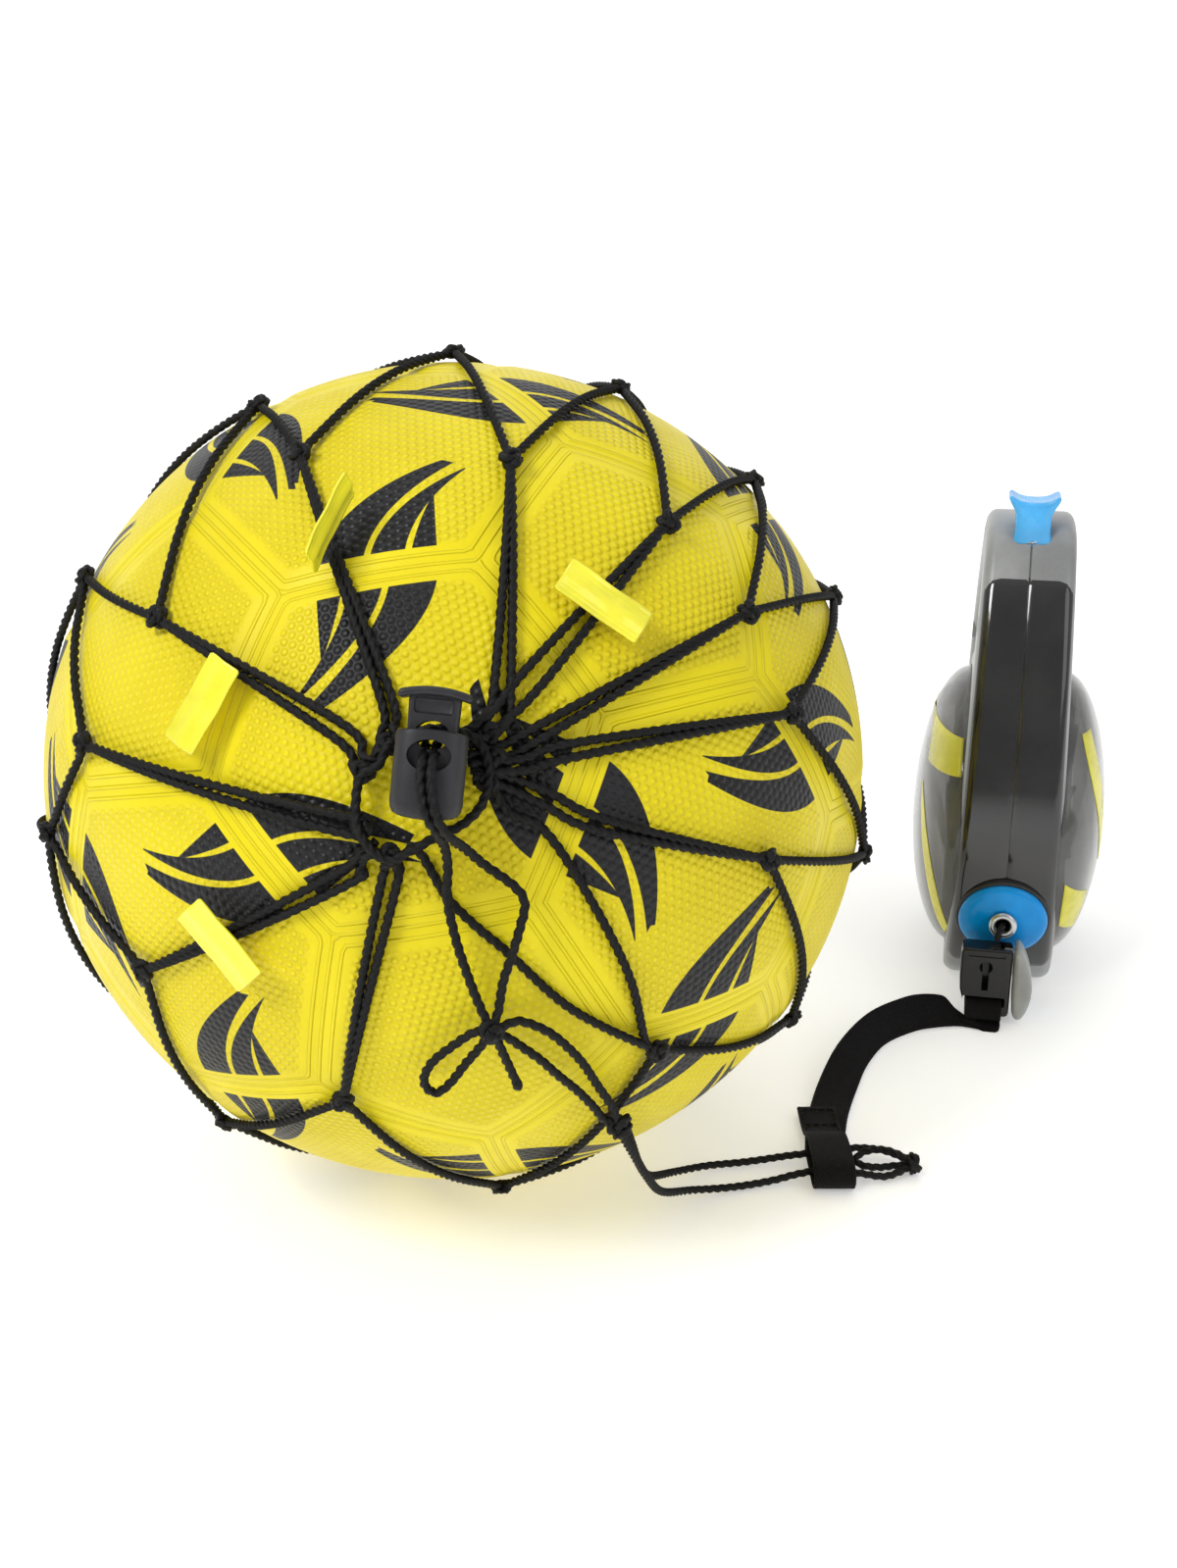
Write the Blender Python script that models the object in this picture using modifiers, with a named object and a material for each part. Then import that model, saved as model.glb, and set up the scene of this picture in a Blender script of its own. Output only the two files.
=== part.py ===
"""A football trainer: a ball in a knotted net, tethered by cord and strap to a retracting reel.

Lengths in this script are millimetres and MM turns them into Blender's metres.
The floor is z = 0 and the viewer stands at -Y.
"""
from math import cos, pi, radians, sin, sqrt

import bmesh
import bpy
from mathutils import Matrix, Vector

MM = 0.001
GAP = 0.3

# The ball stands on its net.
BALL_R = 103.0
CORD_D = 2.2
NET_LIFT = 2.5
BALL = Vector((-49.4, -36.9, 105.2))
COVER_WALL = 2.4
BLADDER_GAP = 1.8
BLADDER_WALL = 1.2
BALL_RINGS = (28, 16)
BLADDER_RINGS = (20, 12)
VALVE_R = 4.0
VALVE_DIRECTION = Vector((0.35, 0.75, 0.56)).normalized()

# The net's mouth faces the viewer; each knot is (degrees clockwise from the top, degrees off the mouth).
MOUTH_AZIMUTH = 6.6
MOUTH_ELEVATION = 24.0
MOUTH_RING = 6.0
NET_ROW_1 = ((10, 35), (44, 37), (67, 39), (87, 42), (114, 41), (151, 48),
             (202, 51), (238, 55), (273, 53), (294, 43), (332, 44))
NET_ROW_2 = ((25, 69), (48, 72), (68, 73), (105, 76), (130, 78), (177, 81),
             (216, 82), (262, 68), (298, 69), (332, 66), (361, 72))
NET_ROW_3_POLAR = 107
NET_ROW_4_POLAR = 142
BACK_RING = 174
BAR_STEPS = 3

# Points that lie over the ball are (x, z) from its centre, and the lift above a cord that lies on the net.
DRAPE = 4.9
LOCK_AT = (2.3, 38.0, 7.2)
LOCK_LEAN = 6.0
LOCK_WIDTH = 14.2
LOCK_DEPTH = 11.0
LOCK_HEIGHT = 17.5
LOCK_HOLE_Z = 3.6
PLUNGER_WIDTH = 9.6
PLUNGER_DEPTH = 6.5
PLUNGER_TOP = 17.0
LOCK_TRAVEL = 4.0

DRAW_RING = ((-5.6, 41.8), (-8.3, 37.3), (-11.9, 35.2), (-12.9, 30.1), (-12.6, 25.2), (-10.0, 21.0),
             (-6.5, 19.0),
             (-2.7, 20.6), (1.0, 22.6), (4.6, 24.5), (8.1, 25.9), (12.0, 29.6), (13.6, 35.1), (12.4, 40.3),
             (8.9, 43.1), (1.9, 44.0))
STRAND_LEFT = ((0.9, 44.5, 14.8), (1.4, 38.0, 14.8), (2.6, 32.5, 14.8), (4.0, 28.6, 11.6), (4.9, 24.0, 5.0),
               (5.3, 18.2, 1.2), (5.0, 11.4, 0.1), (6.0, 4.9, 0.0), (7.4, -1.2, 0.0), (9.8, -9.6, 0.0),
               (11.6, -15.0, 0.2))
STRAND_RIGHT = ((4.3, 44.2, 14.8), (4.7, 38.0, 14.8), (5.9, 32.3, 15.0), (7.6, 28.2, 12.0), (9.4, 23.2, 5.0),
                (12.4, 18.4, 1.2), (18.3, 13.2, 0.1), (20.4, 9.4, 0.0), (19.4, 4.2, 0.0), (17.6, -2.0, 0.0),
                (15.8, -7.7, 0.0), (14.6, -14.9, 0.2))
BOW_KNOT = (13.2, -18.7, 1.6)
BOW_LOOP = ((9.7, -19.2, 0.6), (5.2, -22.8, 0.0), (0.8, -27.0, 0.0), (-1.3, -31.3, 0.0), (-1.0, -34.6, 0.0),
            (1.2, -36.0, 0.0), (4.2, -33.0, 0.0), (7.4, -28.0, 0.0), (10.8, -23.0, 0.6))
BOW_TAIL = ((14.6, -22.6, 0.6), (15.4, -25.6, 0.2), (16.6, -29.6, 0.0), (18.4, -35.9, 0.0))
TETHER_UPPER = ((16.9, -17.6, 0.6), (19.2, -17.6, 0.0), (23.0, -19.6, 0.0), (26.8, -23.1, 0.0),
                (31.6, -30.2, 0.0), (35.2, -38.6, 0.0), (38.4, -45.6, 1.2))
TETHER_LOWER = ((16.6, -21.3, 0.6), (18.9, -23.9, 0.0), (23.0, -28.2, 0.0), (26.8, -33.5, 0.0),
                (30.8, -39.0, 0.0), (34.4, -45.0, 0.6), (36.4, -48.9, 1.2))
HITCH = (40.0, -51.3, 2.4)

# Points on the floor side are (x, y) from the ball's axis and the height.
TETHER_LEFT = ((41.2, -82.4, 50.4), (43.2, -74.0, 40.0), (45.4, -63.2, 27.5), (48.6, -48.5, 15.0),
               (55.6, -32.0, 5.6), (64.6, -24.0, 2.4), (76.0, -20.6, 1.6), (88.0, -19.0, 2.6),
               (97.0, -18.6, 3.3), (105.0, -17.0, 3.6), (112.5, -16.6, 2.6), (117.8, -20.2, 2.4))
TETHER_RIGHT = ((40.2, -86.4, 50.6), (43.6, -78.0, 39.4), (47.4, -67.6, 26.4), (51.6, -53.6, 13.6),
                (59.6, -39.0, 4.6), (70.6, -33.0, 1.6), (81.0, -30.0, 1.6), (89.0, -28.0, 2.6),
                (97.0, -27.0, 3.2), (104.5, -27.8, 2.6), (111.0, -28.2, 1.8), (115.6, -26.8, 2.4))
TETHER_FOLD = ((115.9, -23.4, 5.4), (111.5, -21.0, 5.6), (106.6, -20.8, 4.6), (104.4, -22.8, 3.4),
               (106.4, -24.6, 2.8), (110.8, -24.4, 2.2), (115.2, -23.2, 2.0))
END_KNOT = (119.4, -24.6, 3.2)

# The strap is webbing: it lies on the floor at (x, y) from the ball's axis, its far edge raised by a lean in
# degrees. It ends in a sewn loop, given as (y, z), and hangs on the clip's lower bar.
WEB_WIDTH = 12.0
WEB = 1.2
STRAP_FLOOR = ((145.2, 63.2, 12), (139.0, 61.0, 38), (131.8, 57.2, 58), (121.0, 48.0, 58), (112.0, 34.5, 42),
               (105.6, 20.0, 18), (101.0, 6.0, 4), (98.4, -6.0, 0))
STRAP_LOOP = ((-14.0, 0.8), (-24.0, 0.8), (-31.5, 1.0), (-34.2, 3.9), (-31.5, 6.9), (-23.0, 7.2),
              (-15.0, 6.2), (-9.0, 3.3), (-3.0, 2.3), (6.0, 2.3))

# The tag's centre (x, z, lift), its turn in the plane of the ball's skin and its roll, in degrees.
TAG_LENGTH = 20.0
TAG_WIDTH = 8.4
TAG_THICK = 0.9
TAGS = (((-45.6, 45.6, 0.4), 22, 0), ((36.4, 65.0, 0.4), -45, 0),
        ((-43.0, -2.8, 0.4), -44, 0), ((-19.4, 80.4, 3.6), 10, 65))

# The reel's own frame: x across, y back from the front of its nose, z up.
REEL_AT = Vector((BALL.x + 162.0, BALL.y + 71.0, 0.0))
REEL_YAW = -12.0
DISC = Vector((0.0, 48.0, 51.0))
HALF_WIDTH_BASE = 17.2
HALF_WIDTH_SLOPE = 0.0253
HOUSING = ((26, 0), (74, 0), (86, 9), (94, 24), (98, 42), (101, 56), (109, 68), (116, 82), (117, 98),
           (108, 116), (93, 131), (76, 142), (58, 148), (42, 148.6), (31, 145), (22, 133), (14, 115),
           (7, 92), (2.2, 68), (0.6, 50), (3.4, 33), (9, 18), (17, 6))
FINGER_HOLE = ((42, 110), (46, 105.5), (56, 103.5), (70, 98.5), (84, 88), (93, 79.5), (100, 79.5),
               (103, 88), (100, 101), (90, 114), (76, 124), (60, 130.5), (49, 130), (43, 122))
POCKET = ((28, 3), (72, 3), (82, 11), (90, 26), (94, 43), (95.6, 54), (93, 68), (84, 82), (70, 93),
          (54, 99.6), (42, 101.6), (37.6, 108), (37, 122), (38, 134), (38, 141), (30, 140), (27, 132),
          (20, 112), (13, 90), (8.6, 68), (7, 50), (9, 36), (13.5, 22), (21, 8))
POCKET_HALF = 11.7
PANEL_TOP = 134.0
PANEL_THICK = 2.0
COVER_R = 46.0
COVER_SEAT = 14.7
COVER_BULGE = 30.5
COVER_THICK = 2.2
OUTLET = Vector((0.0, 4.4, 30.0))
OUTLET_R = 13.6
OUTLET_TILT = 18.0
LEAD_D = 2.4
SPOOL_R = 36.0
WINDING_R = 19.4
HUB_R = 16.0
AXLE_R = 3.0
BUTTON_Y = 35.0
BUTTON_LENGTH = 14.0
PAWL_PIVOT = Vector((0.0, 21.0, 94.0))
SCREWS = ((106, 96), (66, 140), (24, 118), (88, 32))

# The clip hangs on the lead in front of the nose, in the reel's frame.
CLIP = Vector((-4.2, -5.6, 13.3))
CLIP_SIZE = Vector((15.6, 8.0, 22.6))
LEVER_PIVOT = Vector((2.5, -5.6, 21.6))
LEVER_PIN_R = 0.6
LEAD_AT_CLIP = -1.8

COLOURS = {
    "yellow_rubber": ((0.83, 0.74, 0.02), 0.45, 0.0), "butyl": ((0.03, 0.03, 0.03), 0.6, 0.0),
    "black_cord": ((0.015, 0.014, 0.014), 0.75, 0.0), "black_web": ((0.012, 0.011, 0.013), 0.8, 0.0),
    "charcoal": ((0.05, 0.05, 0.055), 0.45, 0.0), "steel": ((0.55, 0.56, 0.57), 0.3, 1.0),
    "yellow_tag": ((0.85, 0.83, 0.03), 0.25, 0.0), "reel_grey": ((0.30, 0.31, 0.31), 0.4, 0.0),
    "gloss_black": ((0.03, 0.03, 0.032), 0.2, 0.0), "smoke": ((0.30, 0.31, 0.31), 0.15, 0.0),
    "blue": ((0.01, 0.30, 0.68), 0.3, 0.0), "grey_lever": ((0.28, 0.30, 0.28), 0.4, 0.0),
    "nylon": ((0.45, 0.45, 0.43), 0.5, 0.0),
}


def clear_scene():
    for old in list(bpy.data.objects):
        bpy.data.objects.remove(old, do_unlink=True)


def new_collection(name):
    made = bpy.data.collections.new(name)
    bpy.context.scene.collection.children.link(made)
    return made


def material(name):
    """One Principled material for each name in COLOURS."""
    made = bpy.data.materials.get(name)
    if made:
        return made
    colour, roughness, metallic = COLOURS[name]
    made = bpy.data.materials.new(name)
    made.use_nodes = True
    shader = made.node_tree.nodes["Principled BSDF"]
    shader.inputs["Base Color"].default_value = (*colour, 1.0)
    shader.inputs["Roughness"].default_value = roughness
    shader.inputs["Metallic"].default_value = metallic
    return made


def add_frame(name, matrix):
    """An empty that carries the pieces built in its frame."""
    frame = bpy.data.objects.new(name, None)
    frame.matrix_world = matrix
    PARTS.objects.link(frame)
    return frame


def add_object(name, data, paint, frame=None):
    made = bpy.data.objects.new(name, data)
    PARTS.objects.link(made)
    made.parent = frame
    data.materials.clear()
    data.materials.append(material(paint))
    return made


def evaluated_mesh(piece):
    """The piece's mesh with its modifiers applied, its caps welded and its faces pointing out."""
    bpy.context.view_layer.update()
    mesh = bpy.data.meshes.new_from_object(piece.evaluated_get(bpy.context.evaluated_depsgraph_get()))
    shape = bmesh.new()
    shape.from_mesh(mesh)
    bmesh.ops.remove_doubles(shape, verts=shape.verts, dist=0.005 * MM)
    bmesh.ops.recalc_face_normals(shape, faces=shape.faces)
    shape.to_mesh(mesh)
    shape.free()
    return mesh


def settle(piece):
    """Turns a curve or a piece with modifiers into a plain mesh object of the same name."""
    name, paint, frame = piece.name, piece.data.materials[0].name, piece.parent
    mesh = evaluated_mesh(piece)
    bpy.data.objects.remove(piece, do_unlink=True)
    return add_object(name, mesh, paint, frame)


def set_origin(piece, point):
    """Moves the piece's origin to a point of its frame, and leaves its shape where it is."""
    piece.data.transform(Matrix.Translation(-point * MM))
    piece.location = point * MM
    return piece


def from_bmesh(name, shape, paint, frame=None):
    bmesh.ops.scale(shape, vec=(MM, MM, MM), verts=shape.verts)
    mesh = bpy.data.meshes.new(name)
    shape.to_mesh(mesh)
    shape.free()
    return add_object(name, mesh, paint, frame)


def block(name, low, high, paint="steel", frame=None, bevel=0.0, segments=2):
    """A box between two corners with its edges rounded."""
    low, high = Vector(low), Vector(high)
    shape = bmesh.new()
    bmesh.ops.create_cube(shape, size=1.0)
    bmesh.ops.scale(shape, vec=high - low, verts=shape.verts)
    bmesh.ops.translate(shape, vec=(high + low) / 2, verts=shape.verts)
    if bevel:
        bmesh.ops.bevel(shape, geom=shape.edges, offset=bevel, segments=segments, profile=0.5, affect="EDGES")
    return from_bmesh(name, shape, paint, frame)


def rod(name, start, end, radius, paint="steel", frame=None, sides=20):
    """A cylinder between two points."""
    start, end = Vector(start), Vector(end)
    along = end - start
    shape = bmesh.new()
    turn = along.to_track_quat("Z", "Y").to_matrix().to_4x4()
    bmesh.ops.create_cone(shape, cap_ends=True, segments=sides, radius1=radius, radius2=radius,
                          depth=along.length, matrix=Matrix.Translation((start + end) / 2) @ turn)
    return from_bmesh(name, shape, paint, frame)


def ball(name, centre, radius, paint, rings=BALL_RINGS, scale=(1, 1, 1)):
    shape = bmesh.new()
    bmesh.ops.create_uvsphere(shape, u_segments=rings[0], v_segments=rings[1], radius=radius)
    bmesh.ops.scale(shape, vec=scale, verts=shape.verts)
    bmesh.ops.translate(shape, vec=centre, verts=shape.verts)
    return from_bmesh(name, shape, paint)


def turned(name, profile, matrix, paint, frame=None, steps=36):
    """A closed profile of (radius, height) points turned about the matrix's Z axis."""
    shape = bmesh.new()
    points = [shape.verts.new((r, 0.0, h)) for r, h in profile]
    for a, b in zip(points, points[1:] + points[:1]):
        if a.co.x > 0.001 or b.co.x > 0.001:
            shape.edges.new((a, b))
    made = from_bmesh(name, shape, paint, frame)
    screw = made.modifiers.new("turn", "SCREW")
    screw.steps = steps
    screw.render_steps = steps
    screw.use_merge_vertices = True
    screw.merge_threshold = 0.00001
    made = settle(made)
    scaled = matrix.copy()
    scaled.translation *= MM
    made.data.transform(scaled)
    return made


def smooth(points, steps=4, closed=False):
    """Points read from a Catmull-Rom curve through the given ones."""
    points = [Vector(p) for p in points]
    count = len(points)
    out = []
    for i in range(count if closed else count - 1):
        if closed:
            p0, p1, p2, p3 = (points[(i + k) % count] for k in (-1, 0, 1, 2))
        else:
            p0, p1, p2, p3 = (points[min(max(i + k, 0), count - 1)] for k in (-1, 0, 1, 2))
        for s in range(steps):
            t = s / steps
            out.append(0.5 * (2 * p1 + (p2 - p0) * t + (2 * p0 - 5 * p1 + 4 * p2 - p3) * t * t
                              + (3 * p1 - p0 - 3 * p2 + p3) * t ** 3))
    return out if closed else out + [points[-1]]


def tube(name, points, diameter, paint, frame=None, closed=False):
    """A round tube along the points, with filled ends."""
    curve = bpy.data.curves.new(name, "CURVE")
    curve.dimensions = "3D"
    curve.bevel_depth = diameter / 2 * MM
    curve.bevel_resolution = 2
    curve.use_fill_caps = not closed
    line = curve.splines.new("POLY")
    line.points.add(len(points) - 1)
    for slot, point in zip(line.points, points):
        slot.co = (*(Vector(point) * MM), 1.0)
    line.use_cyclic_u = closed
    return settle(add_object(name, curve, paint, frame))


def prism(name, outlines, low_x, high_x, paint="steel", frame=None):
    """Flat (y, z) outlines, the later ones holes, thickened from low_x to high_x."""
    curve = bpy.data.curves.new(name, "CURVE")
    curve.dimensions = "2D"
    curve.fill_mode = "BOTH"
    curve.extrude = (high_x - low_x) / 2 * MM
    for outline in outlines:
        line = curve.splines.new("POLY")
        line.points.add(len(outline) - 1)
        for slot, point in zip(line.points, outline):
            slot.co = (point[0] * MM, point[1] * MM, 0.0, 1.0)
        line.use_cyclic_u = True
    made = settle(add_object(name, curve, paint, frame))
    stand = Matrix(((0, 0, 1, (high_x + low_x) / 2 * MM), (1, 0, 0, 0), (0, 1, 0, 0), (0, 0, 0, 1)))
    made.data.transform(stand)
    return made


def ribbon(name, points, sides, width, thickness, paint, frame=None):
    """Webbing along the points; sides gives the direction across it at each point."""
    shape = bmesh.new()
    rows = []
    for point, side in zip(points, sides):
        offsets = (-0.5, 0.0, 0.5)
        rows.append([shape.verts.new(Vector(point) + Vector(side) * width * k) for k in offsets])
    for a, b in zip(rows, rows[1:]):
        for k in range(2):
            shape.faces.new((a[k], a[k + 1], b[k + 1], b[k]))
    made = from_bmesh(name, shape, paint, frame)
    thick = made.modifiers.new("thickness", "SOLIDIFY")
    thick.thickness = thickness * MM
    thick.offset = 0.0
    return settle(made)


def boolean(piece, cutter, operation):
    """Cuts the piece with a cutter, joins it on, or keeps what both hold, and drops the cutter."""
    step = piece.modifiers.new(operation.lower(), "BOOLEAN")
    step.operation = operation
    step.object = cutter
    made = settle(piece)
    bpy.data.objects.remove(cutter, do_unlink=True)
    return made


def over_ball(x, z, lift):
    """The place in front of the ball at (x, z) from its centre, lifted off its surface."""
    radius = BALL_R + lift + DRAPE
    return BALL + Vector((x, -sqrt(radius * radius - x * x - z * z), z))


def by_ball(x, y, z):
    """A place given from the ball's vertical axis and the floor."""
    return Vector((BALL.x + x, BALL.y + y, z))


def tangent_matrix(place, turn):
    """A frame on the ball's skin: x right, y inwards, z up, turned clockwise as seen from outside."""
    inwards = (BALL - place).normalized()
    right = inwards.cross(Vector((0, 0, 1))).normalized()
    basis = Matrix((right, inwards, right.cross(inwards))).transposed()
    return Matrix.Translation(place * MM) @ (basis @ Matrix.Rotation(radians(turn), 3, "Y")).to_4x4()


# ---- the ball ----

def make_ball():
    way = BALL + VALVE_DIRECTION * (BALL_R - 20), BALL + VALVE_DIRECTION * (BALL_R + 10)
    hollow = ball("hollow", BALL, BALL_R - COVER_WALL, "steel")
    hollow = boolean(hollow, rod("valve_hole", *way, VALVE_R + GAP), "UNION")
    boolean(ball("ball_cover", BALL, BALL_R, "yellow_rubber"), hollow, "DIFFERENCE")

    bladder_r = BALL_R - COVER_WALL - BLADDER_GAP
    hollow = ball("hollow", BALL, bladder_r - BLADDER_WALL, "steel", rings=BLADDER_RINGS)
    hollow = boolean(hollow, rod("neck_hole", *way, VALVE_R / 2 + GAP), "UNION")
    boolean(ball("ball_bladder", BALL, bladder_r, "butyl", rings=BLADDER_RINGS), hollow, "DIFFERENCE")

    stand = VALVE_DIRECTION.to_track_quat("Z", "Y").to_matrix().to_4x4()
    stand.translation = BALL + VALVE_DIRECTION * BALL_R
    stem = VALVE_R / 2
    profile = ((0, -9), (stem, -9), (stem, -2.2), (VALVE_R, -2.0), (VALVE_R, -0.4), (VALVE_R - 0.5, 0),
               (0.6, 0), (0.6, -6), (0, -6))
    turned("ball_valve", profile, stand, "butyl", steps=20)


# ---- the net ----

def on_net(azimuth, polar, lift):
    """A place over the ball: clockwise from the top round the net's mouth, then away from it."""
    az, el = radians(MOUTH_AZIMUTH), radians(MOUTH_ELEVATION)
    pole = Vector((sin(az) * cos(el), -cos(az) * cos(el), sin(el)))
    right = Vector((0, 0, 1)).cross(pole).normalized()
    up = pole.cross(right)
    a, p = radians(azimuth), radians(polar)
    return BALL + (BALL_R + lift) * (cos(p) * pole + sin(p) * (sin(a) * right + cos(a) * up))


def net_rows():
    """The net's knots, row by row from the mouth ring to the ring at the back."""
    count = len(NET_ROW_1)
    row_3 = [((a + b) / 2, NET_ROW_3_POLAR) for (a, _), (b, _) in
             zip(NET_ROW_1, NET_ROW_2[-1:] + NET_ROW_2[:-1])]
    row_3[0] = (NET_ROW_1[0][0] + 4, NET_ROW_3_POLAR)
    even = [(360 * (k + 0.5) / count + 10, NET_ROW_4_POLAR) for k in range(count)]
    mouth = [(a, MOUTH_RING) for a, _ in NET_ROW_1]
    back = [(a, BACK_RING) for a, _ in even]
    rows = mouth, NET_ROW_1, NET_ROW_2, row_3, even, back
    return [[on_net(a, p, NET_LIFT) for a, p in row] for row in rows]


def make_net():
    """Knotted meshes as faces on the ball: only a band along their edges stays, and is thickened."""
    mouth, row_1, row_2, row_3, row_4, back = net_rows()
    count = len(row_1)
    shape = bmesh.new()
    knots, arcs = {}, {}

    def knot(place):
        key = tuple(round(c, 3) for c in place)
        if key not in knots:
            knots[key] = shape.verts.new(place)
        return knots[key]

    def arc(a, b):
        """The vertices from a to b along the ball, a included and b not."""
        key = tuple(round(c, 3) for c in (*a, *b))
        back_key = key[3:] + key[:3]
        if back_key in arcs:
            return [knot(a)] + arcs[back_key][::-1]
        if key not in arcs:
            arcs[key] = []
            for step in range(1, BAR_STEPS):
                out = a.lerp(b, step / BAR_STEPS) - BALL
                arcs[key].append(shape.verts.new(BALL + out.normalized() * (BALL_R + NET_LIFT)))
        return [knot(a)] + arcs[key]

    def face(*corners):
        loop = []
        for a, b in zip(corners, corners[1:] + corners[:1]):
            loop += arc(a, b)
        shape.faces.new(loop)

    for k in range(count):
        after, before = (k + 1) % count, (k - 1) % count
        face(mouth[k], row_1[k], row_2[k], row_1[after], mouth[after])
        face(row_1[k], row_2[before], row_3[k], row_2[k])
        face(row_2[k], row_3[k], row_4[k], row_3[after])
        face(row_4[k], row_3[after], row_4[after], back[after], back[k])
    bmesh.ops.recalc_face_normals(shape, faces=shape.faces)
    centres = list(shape.faces)
    bmesh.ops.inset_individual(shape, faces=centres, thickness=CORD_D / 2, use_even_offset=True)
    bmesh.ops.delete(shape, geom=centres, context="FACES")
    for vert in shape.verts:
        vert.co = BALL + (vert.co - BALL).normalized() * (BALL_R + NET_LIFT)
    net = from_bmesh("ball_net", shape, "black_cord")
    bars = net.modifiers.new("bars", "SOLIDIFY")
    bars.thickness = CORD_D * MM
    bars.offset = 0.0
    settle(net)


def make_tags():
    for number, (place, turn, roll) in enumerate(TAGS, 1):
        matrix = tangent_matrix(over_ball(*place), turn)
        matrix = matrix @ Matrix.Rotation(radians(roll), 4, "Z")
        frame = add_frame(f"tag_frame_{number}", matrix)
        size = Vector((TAG_WIDTH, TAG_THICK, TAG_LENGTH)) / 2
        block(f"net_tag_{number}", -size, size, "yellow_tag", frame)


# ---- the cord lock, the draw cord and its bow ----

def oval_bar(name, width, height, z, frame):
    """A cutter of oval section that runs front to back."""
    shape = bmesh.new()
    bmesh.ops.create_cone(shape, cap_ends=True, segments=24, radius1=0.5, radius2=0.5, depth=30)
    bmesh.ops.scale(shape, vec=(width, height, 1), verts=shape.verts)
    bmesh.ops.rotate(shape, matrix=Matrix.Rotation(pi / 2, 3, "X"), verts=shape.verts)
    bmesh.ops.translate(shape, vec=(0, 0, z), verts=shape.verts)
    return from_bmesh(name, shape, "steel", frame)


def make_cord_lock():
    frame = add_frame("lock_frame", tangent_matrix(over_ball(*LOCK_AT), LOCK_LEAN))
    w, d, h = LOCK_WIDTH / 2, LOCK_DEPTH / 2, LOCK_HEIGHT / 2
    body = block("cord_lock_body", (-w, -d, -h), (w, d, h), "charcoal", frame, bevel=1.6, segments=3)
    pw, pd = PLUNGER_WIDTH / 2, PLUNGER_DEPTH / 2
    pocket = block("pocket", (-pw - GAP, -pd - GAP, -h + 1.4), (pw + GAP, pd + GAP, h + 5), frame=frame)
    body = boolean(body, pocket, "DIFFERENCE")
    boolean(body, oval_bar("hole", 8.6, 6.2, LOCK_HOLE_Z, frame), "DIFFERENCE")

    stem = block("cord_lock_plunger", (-pw, -pd, -2.0), (pw, pd, PLUNGER_TOP - 0.5), "charcoal", frame)
    cap = block("cap", (-w, -4.6, PLUNGER_TOP - 1.6), (w, 4.6, PLUNGER_TOP), frame=frame, bevel=0.5)
    stem = boolean(stem, cap, "UNION")
    boolean(stem, oval_bar("hole", 7.0, 5.6, LOCK_HOLE_Z + LOCK_TRAVEL, frame), "DIFFERENCE")

    turns, steps, low, high = 4, 8, -h + 2.3, -2.0 - 0.8
    points = [(2.2 * cos(2 * pi * i / steps), 2.2 * sin(2 * pi * i / steps),
               low + (high - low) * i / (turns * steps)) for i in range(turns * steps + 1)]
    tube("cord_lock_spring", points, 0.6, "steel", frame)


def make_draw_cord():
    ring = [over_ball(x, z, 0.1) for x, z in smooth(DRAW_RING, 2, closed=True)]
    tube("draw_cord", ring, CORD_D, "black_cord", closed=True)
    strands = {"draw_strand_left": STRAND_LEFT, "draw_strand_right": STRAND_RIGHT, "bow_loop": BOW_LOOP,
               "bow_tail": BOW_TAIL, "tether_upper": TETHER_UPPER, "tether_lower": TETHER_LOWER}
    for name, route in strands.items():
        tube(name, [over_ball(*p) for p in smooth(route, 2)], CORD_D, "black_cord")
    ball("bow_knot", over_ball(*BOW_KNOT), 3.0, "black_cord", rings=(12, 8), scale=(1, 0.8, 0.9))
    ball("net_hitch", over_ball(*HITCH), 3.2, "black_cord", rings=(12, 8))


def make_tether():
    for name, route in (("tether_left", TETHER_LEFT), ("tether_right", TETHER_RIGHT),
                        ("tether_fold", TETHER_FOLD)):
        tube(name, [by_ball(*p) for p in smooth(route, 3)], CORD_D, "black_cord")
    ball("tether_end_knot", by_ball(*END_KNOT), 3.0, "black_cord", rings=(12, 8))


def make_strap():
    """Webbing from beside the clip to a loop sewn back on itself."""
    steps = 3
    lying = smooth(STRAP_FLOOR, steps)
    points, sides = [], []
    for before, here, after in zip(lying[:1] + lying[:-1], lying, lying[1:] + lying[-1:]):
        lean = radians(here.z)
        along = Vector((after.x - before.x, after.y - before.y, 0)).normalized()
        points.append(by_ball(here.x, here.y, WEB / 2 + 0.2 + WEB_WIDTH / 2 * sin(lean)))
        sides.append(Vector((-along.y * cos(lean), along.x * cos(lean), -sin(lean))))
    loop_x = STRAP_FLOOR[-1][0] - 1.0
    for point in smooth([(loop_x, y, z) for y, z in STRAP_LOOP], steps):
        points.append(by_ball(*point))
        sides.append(Vector((1, 0, 0)))
    ribbon("strap", points, sides, WEB_WIDTH, WEB, "black_web")


# ---- the reel ----

def taper(piece):
    """Narrows a piece of the housing towards the handle's crest."""
    for vert in piece.data.vertices:
        vert.co.x *= 1 - HALF_WIDTH_SLOPE * vert.co.z / (HALF_WIDTH_BASE * MM)
    return piece


def housing_outline():
    base = [Vector(p) for p in HOUSING[:2]]
    return base[:1] + smooth(HOUSING[1:] + HOUSING[:1], 2)[:-1]


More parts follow.
